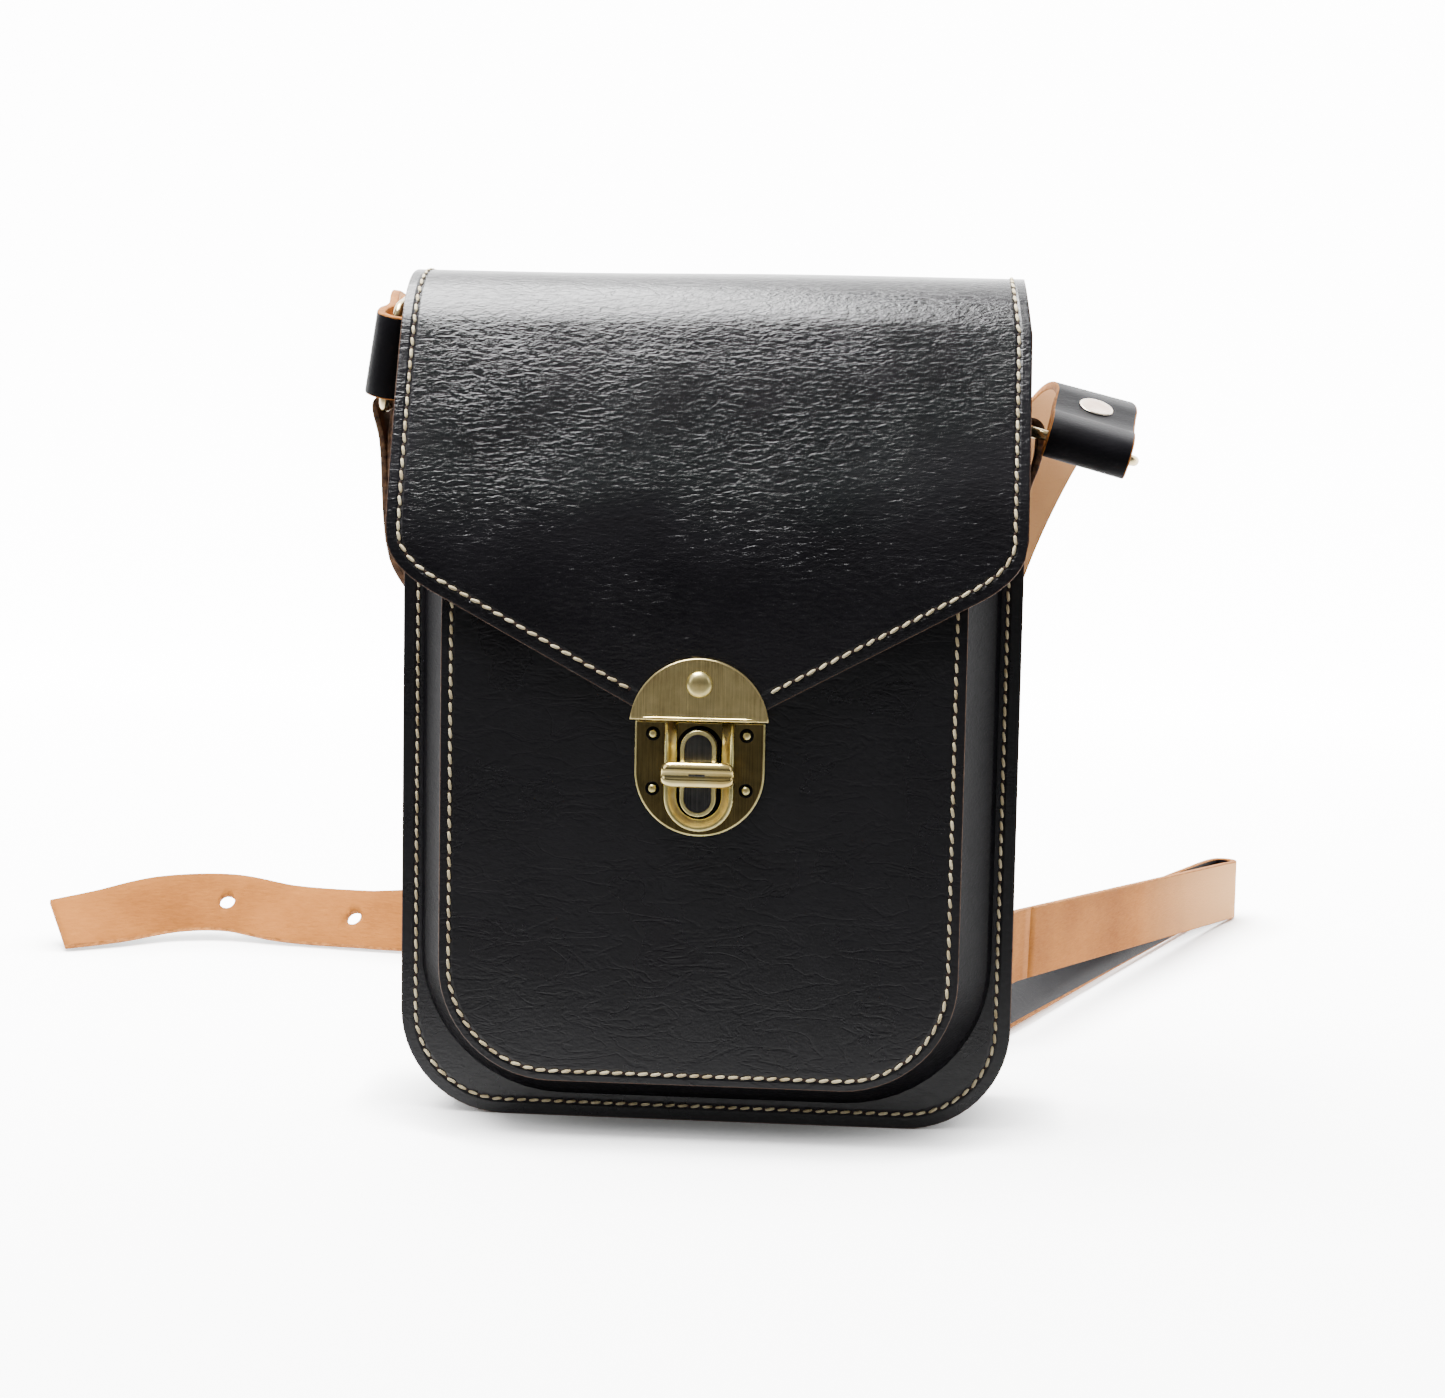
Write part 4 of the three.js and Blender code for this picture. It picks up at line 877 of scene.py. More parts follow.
def build_flap():
    half = box("flap_front_leather")[1].x
    seam = profile.length_at_depth(FLAP_SEAM_Y)
    body = ["flap", "suede", "edge"]
    parts = {
        "back": flap_sheet("flap_back_leather", half, 0.0, seam, 0, LEATHER - 0.05, body),
        "front": flap_sheet("flap_face_leather", half, seam, None, 0, LEATHER - 0.05, body),
    }
    lining = ["suede", "suede", "edge"]
    parts["back_lining"] = flap_sheet(
        "flap_back_lining", half, profile.length_at_depth(20.5), seam, LEATHER, LEATHER + LINING, lining, 0.5)
    parts["front_lining"] = flap_sheet(
        "flap_face_lining", half, seam, None, LEATHER, LEATHER + LINING, lining, 0.5)
    for key in ("back", "front"):
        soften(parts[key], FLAP_BEVEL)
    line = inset_line(half, GROOVE["flap"], 0)
    path, normals = [], []
    for x, s in line:
        _, n = profile.at(s)
        path.append(flap_point(x, s, 0, half))
        normals.append(Vector((0, n[0], n[1])))
    cover_half, cover_top = box("hasp_cover")[1].x, box("hasp_cover")[1].z

    def keep_off(c):
        return not (abs(c.x) < cover_half and c.z < cover_top and c.y < -40)

    parts["back_stitches"] = stitches(
        "flap_back_stitches", path, normals, lambda c: (c.y > FLAP_SEAM_Y) and keep_off(c))
    parts["front_stitches"] = stitches(
        "flap_face_stitches", path, normals, lambda c: (c.y <= FLAP_SEAM_Y) and keep_off(c))
    sewn = []
    for z in SEWN_ROWS:
        row = [Vector((x, 24.95, z)) for x in np.linspace(-half + 4, half - 4, 90)]
        sewn.append(stitches(f"flap_sewn_{int(z)}", row, [Vector((0, 1, 0))] * len(row)))
    parts["sewn"] = join_objects("flap_foot_stitches", sewn)

    for key in ("back", "back_lining", "back_stitches"):
        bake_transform(parts[key])
    for key in ("front", "front_lining", "front_stitches"):
        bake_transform(parts[key])
    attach(parts["sewn"], "bag")
    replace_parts(parts["back"], "flap_top_leather")
    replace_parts(parts["front"], "flap_front_leather")
    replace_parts(parts["back_lining"], "flap_top_lining")
    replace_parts(parts["front_lining"], "flap_front_lining")
    for key, piece in parts.items():
        "tan_leather" if "lining" in key else "black_leather"


# ---- lock ----------------------------------------------------------------------------------------
def plate(name, outline, y_back, thickness, material, bevel=0.35, rim_material=None):
    """A flat metal plate from an (x, z) outline, from y_back towards the front, with rounded edges."""
    bm = bmesh.new()
    front = [bm.verts.new(Vector((x, y_back - thickness, z)) * MM) for x, z in outline]
    back = [bm.verts.new(Vector((x, y_back, z)) * MM) for x, z in outline]
    bm.faces.new(front)
    bm.faces.new(list(reversed(back)))
    count = len(outline)
    for i in range(count):
        j = (i + 1) % count
        bm.faces.new((front[i], back[i], back[j], front[j]))
    bmesh.ops.recalc_face_normals(bm, faces=bm.faces)
    rim = [e for e in bm.edges if all(len(f.verts) != 4 for f in e.link_faces) or
           sum(len(f.verts) > 4 for f in e.link_faces) == 1]
    bmesh.ops.bevel(bm, geom=rim, offset=bevel * MM, segments=3, affect="EDGES", profile=0.6)
    mesh = bpy.data.meshes.new(name)
    bm.to_mesh(mesh)
    bm.free()
    mesh.materials.append(MATERIALS[material])
    if rim_material:
        mesh.materials.append(MATERIALS[rim_material])
    rim_depth = (y_back - thickness + bevel) * MM
    for p in mesh.polygons:
        p.use_smooth = len(p.vertices) <= 4
        if rim_material and p.use_smooth and p.center.y < rim_depth:
            p.material_index = 1
    return link(name, mesh)


def arc(cx, cz, r, a0, a1, steps):
    return [(cx + r * math.cos(math.radians(a0 + (a1 - a0) * i / steps)),
             cz + r * math.sin(math.radians(a0 + (a1 - a0) * i / steps))) for i in range(steps + 1)]


def round_bottom(half, bottom, top, corner=0.8):
    right = arc(half - corner, top - corner, corner, 90, 0, 4)
    left = arc(corner - half, top - corner, corner, 180, 90, 4)
    return [*right, *arc(0, bottom + half, half, 0, -180, 40), *left]


WELL_MARGIN = 1.5
LOOP_STEP = 0.7


def build_lock():
    pieces = []
    lo, hi = box("lock_plate")
    outline = round_bottom(hi.x, lo.z, hi.z)
    base = plate("lock_plate_brass", outline, hi.y, hi.y - lo.y, "plate_brass", 0.6, "rim_brass")
    plate_front = lo.y
    plate_top = hi.z

    # the dark recess round the boss, inside the hasp's loop
    lo, hi = box("lock_boss")
    r = hi.x + WELL_MARGIN
    recess = [*arc(0, plate_top - 1.2 - r, r, 180, 0, 20), *arc(0, lo.z - WELL_MARGIN + r, r, 0, -180, 20)]
    well = plate("lock_well", recess, plate_front + 0.2, 0.26, "black_metal", 0.05)
    base = join_objects("lock_plate_brass", [base, well])
    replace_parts(base, "lock_plate")
    pieces.append((base, "bag", "antique_brass"))

    r = hi.x
    oblong = [*arc(0, hi.z - r, r, 180, 0, 20), *arc(0, lo.z + r, r, 0, -180, 20)]
    boss = plate("lock_boss_metal", oblong, hi.y, hi.y - lo.y, "rim_brass", 0.3)
    boss.data.materials.append(MATERIALS["dark"])
    bm = bmesh.new()
    bm.from_mesh(boss.data)
    bm.faces.ensure_lookup_table()
    face = min((f for f in bm.faces if len(f.verts) > 8), key=lambda f: f.calc_center_median().y)
    bmesh.ops.inset_region(bm, faces=[face], thickness=0.75 * MM, depth=0)
    bmesh.ops.inset_region(bm, faces=[face], thickness=0.15 * MM, depth=-0.45 * MM)
    face.material_index = 1
    bm.to_mesh(boss.data)
    bm.free()
    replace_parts(boss, "lock_boss")
    pieces.append((boss, "bag", "dark_inlay"))

    for i in range(1, 5):
        node = f"lock_nail_{i}"
        lo, hi = box(node)
        c = (lo + hi) / 2
        heads = [(0, 0.0), (0.45, 0.02), (0.85, 0.16), (1.12, 0.42), (1.2, 0.72)]
        rings = [Vector((c.x, plate_front - 0.75 + y, c.z)) for _, y in heads]
        nail = tube(f"{node}_head", rings + [Vector((c.x, hi.y, c.z))], 1, "rim_brass", 16,
                    radii=[max(q, 0.05) for q, _ in heads] + [0.9])
        seat_place = Vector((c.x, plate_front + 0.05, c.z))
        seat = disc(f"{node}_seat", seat_place, Vector((0, -1, 0)), 1.9, "black_metal", 24, 0.14)
        nail = join_objects(f"{node}_head", [nail, seat])
        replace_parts(nail, node)
        pieces.append((nail, "bag", "antique_brass"))

    lo, hi = box("hasp_cover")
    w, h = hi.x, hi.z - lo.z
    radius = (w * w + h * h) / (2 * h)
    start = math.degrees(math.asin((h - radius) / radius))
    crown = arc(0, lo.z + h - radius, radius, -start, 180 + start, 44)
    moon = plate("hasp_cover_brass", crown, hi.y, hi.y - lo.y, "brass", 0.5)
    lip_r = 0.6
    lip_path = [Vector((x, lo.y + 0.35, lo.z + lip_r - 0.1)) for x in np.linspace(-w + 1.2, w - 1.2, 30)]
    lip_radii = [lip_r * min(1, 0.35 + 1.8 * min(i, 29 - i) / 10) for i in range(30)]
    lip = tube("hasp_cover_lip", lip_path, lip_r, "bright_brass", 14, radii=lip_radii)
    cover = join_objects("hasp_cover_brass_lipped", [moon, lip])
    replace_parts(cover, "hasp_cover")
    pieces.append((cover, "flap_front", "antique_brass"))

    lo, hi = box("hasp_loop")
    band = 3.5
    outer = [(hi.x, hi.z), *arc(0, lo.z + hi.x, hi.x, 0, -180, 36), (lo.x, hi.z)]
    inner_half = hi.x - band
    inner_top = hi.z - 2.2
    inner_arc = arc(0, lo.z + hi.x, inner_half, 180, 360, 36)
    inner = [(-inner_half, inner_top), *inner_arc, (inner_half, inner_top)]
    loop = ring_plate("hasp_loop_brass", outer, inner, hi.y, hi.y - lo.y, "rim_brass")
    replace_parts(loop, "hasp_loop")
    pieces.append((loop, "flap_front", "antique_brass"))

    lo, hi = box("hasp_rivet")
    c = (lo + hi) / 2
    r = hi.x
    dome_y = box("hasp_cover")[0].y - 0.05
    heads = [(0.02, -1.75), (0.35, -1.7), (0.65, -1.42), (0.86, -0.95), (0.97, -0.45), (1.0, -0.1),
             (0.97, 0.02)]
    dome = tube("hasp_rivet_dome", [Vector((c.x, dome_y + y, c.z)) for _, y in heads] +
                [Vector((c.x, hi.y, c.z))], 1, "rim_brass", 28, radii=[r * q for q, _ in heads] + [1.4])
    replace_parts(dome, "hasp_rivet")
    pieces.append((dome, "flap_front", "antique_brass"))

    pieces.append((build_knob(), "turn_knob", "polished_brass"))
    for piece, body, slot_name in pieces:
        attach(piece, body)
    for node in ("lock_back_plate", "knob_clip"):
        frame["nodes"][node].data.materials.clear()
        frame["nodes"][node].data.materials.append(MATERIALS["brass"])


def ring_plate(name, outer, inner, y_back, thickness, material):
    """A plate with an opening: the outer and inner outlines have the same number of points."""
    inner = sorted_like(outer, inner)
    count = len(outer)
    front = y_back - thickness
    step = front + LOOP_STEP
    # the bar's section, as (y, distance in from its outline): the outer side, then the inner one
    outer_side = [(y_back, 0.3), (y_back - 0.3, 0.0), (front + 0.6, 0.0), (front + 0.2, 0.15), (front, 0.6),
                  (front, 0.95), (front + 0.2, 1.4), (step, 1.65)]
    inner_side = [(step, 0.4), (step + 0.15, 0.05), (y_back - 0.3, 0.0), (y_back, 0.3)]
    loops = [(0, y, shrink, outer) for y, shrink in outer_side]
    loops += [(1, y, shrink, inner) for y, shrink in inner_side]
    verts = []
    for k, y, shrink, line in loops:
        other = inner if k == 0 else outer
        for (x, z), (ox, oz) in zip(line, other):
            t = shrink / max(math.hypot(ox - x, oz - z), 1e-6)
            verts.append(Vector((x + (ox - x) * t, y, z + (oz - z) * t)))
    faces = grid_faces(len(loops), count)
    last = (len(loops) - 1) * count
    faces += [(last + i, last + i + 1, i + 1, i) for i in range(count - 1)]
    # the ends of the U's two legs
    faces.append(tuple(n * count for n in range(len(loops))))
    faces.append(tuple(n * count + count - 1 for n in reversed(range(len(loops)))))
    return outward(make(name, verts, faces, [material]))


def sorted_like(outer, inner):
    """The inner outline in the outer one's direction and with as many points."""
    p = [Vector((x, z, 0)) for x, z in inner]
    start = Vector((*outer[0], 0))
    if (p[0] - start).length > (p[-1] - start).length:
        p.reverse()
    return [tuple(path_at(p, i * (len(p) - 1) / (len(outer) - 1)).xy) for i in range(len(outer))]


def build_knob():
    """Two parallel rounded bars with a groove between them on a round shaft."""
    lo, hi = box("turn_knob")
    pin = pivot("knob_turn")
    half, tall, y_mid, deep = hi.x, (hi.z - lo.z) / 2 + 0.15, lo.y + 1.9, 1.95
    sections = []
    steps = 40
    sides = 32
    for i in range(steps + 1):
        x = -half + 2 * half * i / steps
        u = abs(x) / half
        cap = math.sqrt(max(0.0, 1 - max(0.0, (u - 0.62) / 0.38) ** 2))
        cap = max(cap, 0.06)
        ring = []
        for k in range(sides):
            a = 2 * math.pi * k / sides
            z = tall * math.copysign(abs(math.cos(a)) ** 0.8, math.cos(a)) * (0.45 + 0.55 * cap)
            groove = 1 - 0.42 * math.exp(-((z / 0.75) ** 2))
            y = deep * math.copysign(abs(math.sin(a)) ** 0.8, math.sin(a)) * groove * cap
            ring.append(Vector((x, y_mid - y, pin.z + z)))
        sections.append(ring)
    bars = loft("knob_bars", sections, ["bright_brass"])
    shaft_line = [Vector((0, y, pin.z)) for y in (y_mid, hi.y - 0.3, hi.y)]
    shaft = tube("knob_shaft", shaft_line, 2.0, "bright_brass", 20, radii=[2.0, 2.0, 1.6])
    slit_ends = [Vector((x, y_mid - 1.12, pin.z)) for x in (-2.2, 2.2)]
    slit = tube("knob_slit", slit_ends, 0.42, "dark", 10)
    knob = join_objects("turn_knob_brass", [bars, shaft, slit])
    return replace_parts(knob, "turn_knob")


# ---- rings and tabs --------------------------------------------------------------------------------
def rounded_loop(length, width, corner, steps=8):
    centres = ((length - corner, width / 2 - corner, 0), (corner, width / 2 - corner, 90),
               (corner, corner - width / 2, 180), (length - corner, corner - width / 2, 270))
    points = []
    for a, b, start in centres:
        for i in range(steps + 1):
            t = math.radians(start + 90 * i / steps)
            points.append((a + corner * math.cos(t), b + corner * math.sin(t)))
    # even out the straight runs
    p, _ = resample([Vector((*q, 0)) for q in points + points[:1]], 1.1)
    return [(v.x, v.y) for v in p]


RING_SIDE = 30
RING_CORNER = 4
RING_WIRE = 1.5
# Each ring's pose: degrees from upright towards +X, degrees that it leans forwards, slide along its bar.
RING_POSE = {"ring_left": (11.0, 12.0, 3.5), "ring_right": (105.0, 0.0, 0.0)}


def ring_frame(node):
    """Middle of the ring's bar, and directions out along its legs, along its bar and square to both."""
    from_upright, lean, _ = RING_POSE[node]
    a = math.radians(from_upright)
    turn = Matrix.Rotation(math.radians(lean), 3, "X")
    out = turn @ Vector((math.sin(a), 0, math.cos(a)))
    side = turn @ Vector((-math.cos(a), 0, math.sin(a)))
    return pivot(f"{node}_swing"), out, turn @ Vector((0, 1, 0)), side


def build_rings():
    for node, (_, _, slide) in RING_POSE.items():
        middle, out, bar, _ = ring_frame(node)
        outline = rounded_loop(RING_SIDE, RING_SIDE, RING_CORNER)
        points = [middle + out * u + bar * (v + slide) for u, v in outline]
        ring = tube(f"{node}_wire", points, RING_WIRE, "ring_brass", 16, closed=True)
        place(ring, node, "antique_brass", node)


BAND_ROUND = 0.45  # how far a band's cut edges are rounded


def band(name, centre_line, up_list, width_dirs, width, thickness, materials):
    """A leather band along a centre line. up_list is the grain side's direction at each point;
    width_dirs is the direction of its width. Slots: 0 grain, 1 flesh, 2 edge."""
    half_w, half_t, r = width / 2, thickness / 2, BAND_ROUND
    top = [(x, half_t) for x in (half_w - r, 0.5 * half_w, 0, -0.5 * half_w, -half_w + r)]
    left = [(-half_w + 0.3 * r, half_t - 0.3 * r), (-half_w, half_t - r),
            (-half_w, r - half_t), (-half_w + 0.3 * r, 0.3 * r - half_t)]
    bottom = [(x, -y) for x, y in reversed(top)]
    right = [(-x, y) for x, y in reversed(left)]
    section = top + left + bottom + right
    face_kind = [0] * 4 + [2] * 5 + [1] * 4 + [2] * 5
    rings = [[p + w * a + up * b for a, b in section] for p, up, w in zip(centre_line, up_list, width_dirs)]
    return loft(name, rings, materials, face_kind * (len(rings) - 1) + [2, 2])


TAB_LEATHER = 2.0
TAB_WIDTH = 17.0
RING_PLAY = 0.5
# Centre lines of each tab's two layers, from the foot up to the loop, as (distance from the wall, z).
TAB_LAYERS = {
    "tab_left": (
        ((1.0, 137), (1.3, 146), (9.1, 160), (11.7, 196)),
        ((14.4, 196), (11.2, 160), (3.3, 146), (3.0, 137)),
    ),
    "tab_right": (
        ((1.0, 137), (1.0, 168), (1.9, 182), (3.2, 192)),
        ((8.2, 192), (5.0, 182), (3.0, 168), (3.0, 137)),
    ),
}


def build_tabs():
    wall = box("main_gusset")[1].x + 0.3
    r = RING_WIRE + RING_PLAY + TAB_LEATHER / 2
    for node, side in (("tab_left", -1), ("tab_right", 1)):
        middle, _, bar, _ = ring_frame(node.replace("tab", "ring"))
        cx, cz = abs(middle.x), middle.z
        inner, outer = ([(wall + x, z) for x, z in layer] for layer in TAB_LAYERS[node])
        loop = [(cx + r * math.cos(math.radians(a)), cz + r * math.sin(math.radians(a)))
                for a in (205, 170, 140, 110, 80, 50, 20, -20)]
        knots = inner + loop + outer
        count = 90
        centre = [Vector((side * x, 0, z)) for x, z in (catmull(knots, i / count) for i in range(count + 1))]
        ups, widths = [], []
        for i, c in enumerate(centre):
            along = (centre[min(i + 1, count)] - centre[max(i - 1, 0)]).normalized()
            turned = float(np.interp(c.z, (178, cz - 5), (0, 1)))
            w = Vector((0, 1, 0)).lerp(bar, turned).normalized()
            ups.append(along.cross(w).normalized())
            widths.append(w)
        # the grain faces out of the loop
        if ups[count // 2].dot(centre[count // 2] - middle) < 0:
            ups = [-u for u in ups]
        tab = band(f"{node}_leather", centre, ups, widths, TAB_WIDTH, TAB_LEATHER - 0.1,
                   ["strap", "suede", "edge"])
        foot = box(node)[0].z
        sew_x = side * (wall + 2 * TAB_LEATHER + 0.02)
        rows = []
        for dz in (2.6, 7.4):
            across = np.linspace(2 - TAB_WIDTH / 2, TAB_WIDTH / 2 - 2, 12)
            row = [Vector((sew_x, y, foot + dz)) for y in across]
            outwards = [Vector((side, 0, 0))] * len(row)
            rows.append(stitches(f"{node}_row_{int(dz)}", row, outwards, thread_slot="tan_thread"))
        sewn = join_objects(f"{node}_stitches", rows)
        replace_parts(tab, node)
        for piece in (tab, sewn):
            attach(piece, "bag")


# ---- straps ----------------------------------------------------------------------------------------
STRAP_WIDTH = 24
STRAP_THICKNESS = 2.6
SECTIONS_PER_STATION = 9
LOOP_RADIUS = 4.6
LOOP_LAYERS = [(6, 4), (11, 2.4), (16, 1.65), (22, 1.6), (29, 1.6)]
RIVETED = 3
HOLE_RADIUS = 3
HOLE_PITCH = 53
FIRST_HOLE = 66
STRAP_OUT = 16.35  # from a ring's bar to the middle of the strap
LEFT_STRAP_TURN = 10  # degrees that the straps' layers turn out of the rings' planes
RIGHT_STRAP_RISE = 25


class Ribbon:
    """A strap along stations (x, y, z, wx, wy, wz): centre line and width direction."""

    def __init__(self, stations):
        self.points = [np.array(s[:3], float) for s in stations]
        self.widths = [Vector(s[3:]).normalized() for s in stations]
        self.last = len(stations) - 1

    def centre(self, t):
        return Vector(catmull(self.points, min(max(t, 0.0), 1.0)))

    def frame(self, t):
        at = t * self.last
        i = min(int(at), self.last - 1)
        width = self.widths[i].lerp(self.widths[i + 1], at - i)
        e = 1e-4
        along = (self.centre(t + e) - self.centre(t - e)).normalized()
        width = (width - along * width.dot(along)).normalized()
        return self.centre(t), along, width, along.cross(width)

    def step(self, t, distance):
        left, sign, here = abs(distance), math.copysign(1, distance), self.centre(t)
        while left > 0 and 0 <= t <= 1:
            t += sign / 4000
            there = self.centre(t)
            left -= (there - here).length
            here = there
        return min(max(t, 0.0), 1.0)

    def band(self, name, t0, t1, materials):
        count = int((t1 - t0) * self.last * SECTIONS_PER_STATION)
        frames = [self.frame(t0 + (t1 - t0) * i / count) for i in range(count + 1)]
        return band(name, [f[0] for f in frames], [f[3] for f in frames], [f[2] for f in frames],
                    STRAP_WIDTH, STRAP_THICKNESS - 0.1, materials)


def drill(obj, ribbon, t, radius, slot_half=0.0):
    """Cuts a round hole, or a slot along the strap, through a strap at parameter t."""
    c, along, width, up = ribbon.frame(t)
    ring = []
    steps = 28
    for k in range(steps):
        a = 2 * math.pi * k / steps
        shift = slot_half if math.cos(a) > 0 else -slot_half
        ring.append(along * (radius * math.cos(a) + shift) + width * (radius * math.sin(a)))
    verts = [c + p + up * 5 for p in ring] + [c + p - up * 5 for p in ring]
    faces = [tuple(range(steps)), tuple(reversed(range(steps, 2 * steps)))]
    for k in range(steps):
        m = (k + 1) % steps
        faces.append((k, m, m + steps, k + steps))
    cutter = outward(make("cutter", verts, faces, ["strap_edge"]))
    mod = obj.modifiers.new("hole", "BOOLEAN")
    mod.operation = "DIFFERENCE"
    mod.solver = "EXACT"
    mod.object = cutter
    bake_modifiers(obj)
    bpy.data.objects.remove(cutter)


def disc(name, centre, up, radius, material, sides=30, height=1.0, dish=0.0):
    """A flat rivet head with a rounded rim, standing on centre."""
    axis = up.normalized()
    heads = [(0.0, 0.0), (1.0, 0.0), (1.04, 0.35), (0.98, 0.8), (0.86, 1.0), (0.5, 1.0 - dish),
             (0.02, 1.0 - dish)]
    points = [centre + axis * (h * height) for _, h in heads]
    side = axis.orthogonal().normalized()
    across = axis.cross(side)
    rings = []
    for (r, _), p in zip(heads, points):
        angles = [2 * math.pi * k / sides for k in range(sides)]
        reach = max(r * radius, 0.05)
        rings.append([p + (side * math.cos(a) + across * math.sin(a)) * reach for a in angles])
    return loft(name, rings, [material])


def rivet(name, node, body, ribbon, t, layer_step, radius=4.9):
    c, _, _, up = ribbon.frame(t)
    half = STRAP_THICKNESS / 2
    top = disc(f"{name}_top", c + up * (half - 0.05), up, radius, "copper", height=0.5, dish=0.06)
    bottom = disc(f"{name}_bottom", c - up * (half + layer_step - 0.05), -up, radius, "copper")
    shank = tube(f"{name}_shank", [c + up * half, c - up * (half + layer_step)], 1.8, "copper", 14)
    made = join_objects(name, [top, bottom, shank])
    place(made, body, "pale_metal", node)


TONGUE_LIFTS = [0.6, 0.6, 0.6, 0.8, 3.4, 3, 1.2, 0.6]


def half_turn(at, start, sign):
    return [at(math.radians(start + sign * d)) for d in range(0, 181, 30)]


def strap_loop(node, degrees_from_plane):
    """Stations from a strap's riveted end round a ring's front leg and back along its long layer."""
    middle, out, bar, side = ring_frame(node)
    leg = middle + out * STRAP_OUT + bar * (RING_POSE[node][2] - RING_SIDE / 2)
    a = math.radians(degrees_from_plane)
    back = bar * math.cos(a) + side * math.sin(a)
    lift = side * math.cos(a) - bar * math.sin(a)

    def at(along, off):
        return (*(leg + back * along + lift * off), *(-out))

    turn = half_turn(lambda t: at(LOOP_RADIUS * math.cos(t), LOOP_RADIUS * math.sin(t)), -90, -1)
    short = [at(along, -off) for along, off in reversed(LOOP_LAYERS)]
    return short + turn + [at(along, off) for along, off in LOOP_LAYERS]


LEFT_HANG = [
    (-103, 34, 227, -0.15, 0.1, -1), (-101.5, 52, 222, -0.15, 0, -1), (-96, 70, 209, -0.4, 0, -0.9),
    (-87, 87, 186, -0.85, 0, -0.5), (-78, 94, 150, -1, 0, 0.1), (-71, 98, 105, -1, 0, 0),
    (-66, 104, 62, -1, 0, 0),
    (-62, 120, 30, -1, 0, 0), (-61, 148, 15.5, -0.9, 0, 0.4), (-68, 176, 13.5, -0.55, -0.3, 0.8),
]
LEFT_FLOOR = [
    (-90, 197, 13.6, -0.1, 0, 1), (-120, 206, 13.2, 0, 0.3, 0.95), (-150, 213, 11.2, 0, 0.62, 0.78),
    (-182, 219, 11.2, 0, 0.62, 0.78), (-206, 223, 13.5, 0, 0.6, 0.8), (-228, 218, 13.2, 0, 0.62, 0.78),
    (-248, 203, 10.4, -0.22, 0.66, 0.7), (-264, 193, 9, -0.4, 0.68, 0.6),
]


def left_stations():
    loop = strap_loop("ring_left", LEFT_STRAP_TURN)
    stations = [list(s) for s in loop + LEFT_HANG + LEFT_FLOOR]
    draft = Ribbon(stations)
    # the tongue stands on its lower edge: each station is raised to the floor plus a lift
    for i, lift in enumerate(TONGUE_LIFTS):
        k = len(stations) - len(TONGUE_LIFTS) + i
        _, _, width, up = draft.frame(k / (len(stations) - 1))
        stations[k][2] = lift + (STRAP_WIDTH * abs(width.z) + STRAP_THICKNESS * abs(up.z)) / 2
    return stations, len(stations) - len(LEFT_FLOOR)


FLOOR_START = Vector((92, 105, 0))
FLOOR_RUN = Vector((0.395, 0.919, 0)).normalized()
FLOOR_SIDE = Vector((-FLOOR_RUN.y, FLOOR_RUN.x, 0))
RUN_LENGTH = 252
RUN_LIFT = 17
FOLD_RADIUS = 4.6


RIGHT_HANG = [
    (107.5, 22, 210.8, -0.97, 0, 0.24), (104.5, 38, 209, -0.97, 0, 0.24), (99, 54, 201.5, -0.97, 0, 0.2),
    (92, 66, 188, -0.96, 0, 0.25), (82.5, 74, 165, -0.94, 0, 0.3), (73, 77, 134, -0.97, 0, 0.2),
    (67, 78, 96, -1, 0, 0.05), (66.5, 79, 66, -1, 0, -0.05), (69, 81, 47, -0.85, 0, -0.5),
    (77, 88, 35.5, -0.4, 0, -0.9),
]
LOOP_STATIONS = len(LOOP_LAYERS) + 7


def right_stations():
    hanging = strap_loop("ring_right", RIGHT_STRAP_RISE) + RIGHT_HANG

    def on_run(s):
        p = FLOOR_START + FLOOR_RUN * s
        return (p.x, p.y, STRAP_WIDTH / 2 + 0.6 + RUN_LIFT * (1 - s / RUN_LENGTH), 0, 0, -1)

    fold_centre = FLOOR_START + FLOOR_RUN * RUN_LENGTH + FLOOR_SIDE * FOLD_RADIUS
    fold = []
    for deg in (0, 45, 90, 135, 180):
        a = math.radians(deg)
        p = fold_centre - FLOOR_SIDE * (FOLD_RADIUS * math.cos(a)) + FLOOR_RUN * (FOLD_RADIUS * math.sin(a))
        fold.append((p.x, p.y, STRAP_WIDTH / 2 + 0.6, 0, 0, -1))
    home = []
    for s, tilt in ((220, 8), (180, 18), (135, 30), (90, 41), (45, 51), (0, 62), (-26, 80)):
        a = math.radians(tilt)
        top = FLOOR_SIDE * math.sin(a) + Vector((0, 0, math.cos(a)))
        p = FLOOR_START + FLOOR_RUN * s + FLOOR_SIDE * (2 * FOLD_RADIUS * max(s, 0) / RUN_LENGTH)
        p = p + top * (STRAP_WIDTH / 2)
        home.append((p.x, p.y, p.z + 0.6 + 1.4 * math.sin(a), *(-top)))
    bar = pivot("buckle_hinge")
    tail = [(57, 70, 3.6, 0.3, -1, 0)]
    rise = ((46, 4), (38, 4), (31, 4), (24, 4.2), (18, 5), (12, 6.2), (5, 8.2))
    tail += [(x, bar.y, z, 0, -1, 0) for x, z in rise]
    wrap = half_turn(lambda a: (bar.x + 3.5 * math.cos(a), bar.y, bar.z + 3.5 * math.sin(a), 0, -1, 0), 90, 1)
    under = [(x, bar.y, 1.9, 0, -1, 0) for x in (5, 12, 20)]
    run = [on_run(s) for s in (-6, 6, 70, 130, 190, 236)]
    stations = hanging + run + fold + home + tail + wrap + under
    total = len(stations) - 1
    marks = {
        "rivet": (LOOP_STATIONS + RIVETED) / total,
        "bend": (len(hanging) + 0.5) / total,
        "fold": (len(hanging) + len(run) + 2) / total,
        "wrap": (len(hanging + run + fold + home + tail) + 3) / total,
    }
    return stations, marks


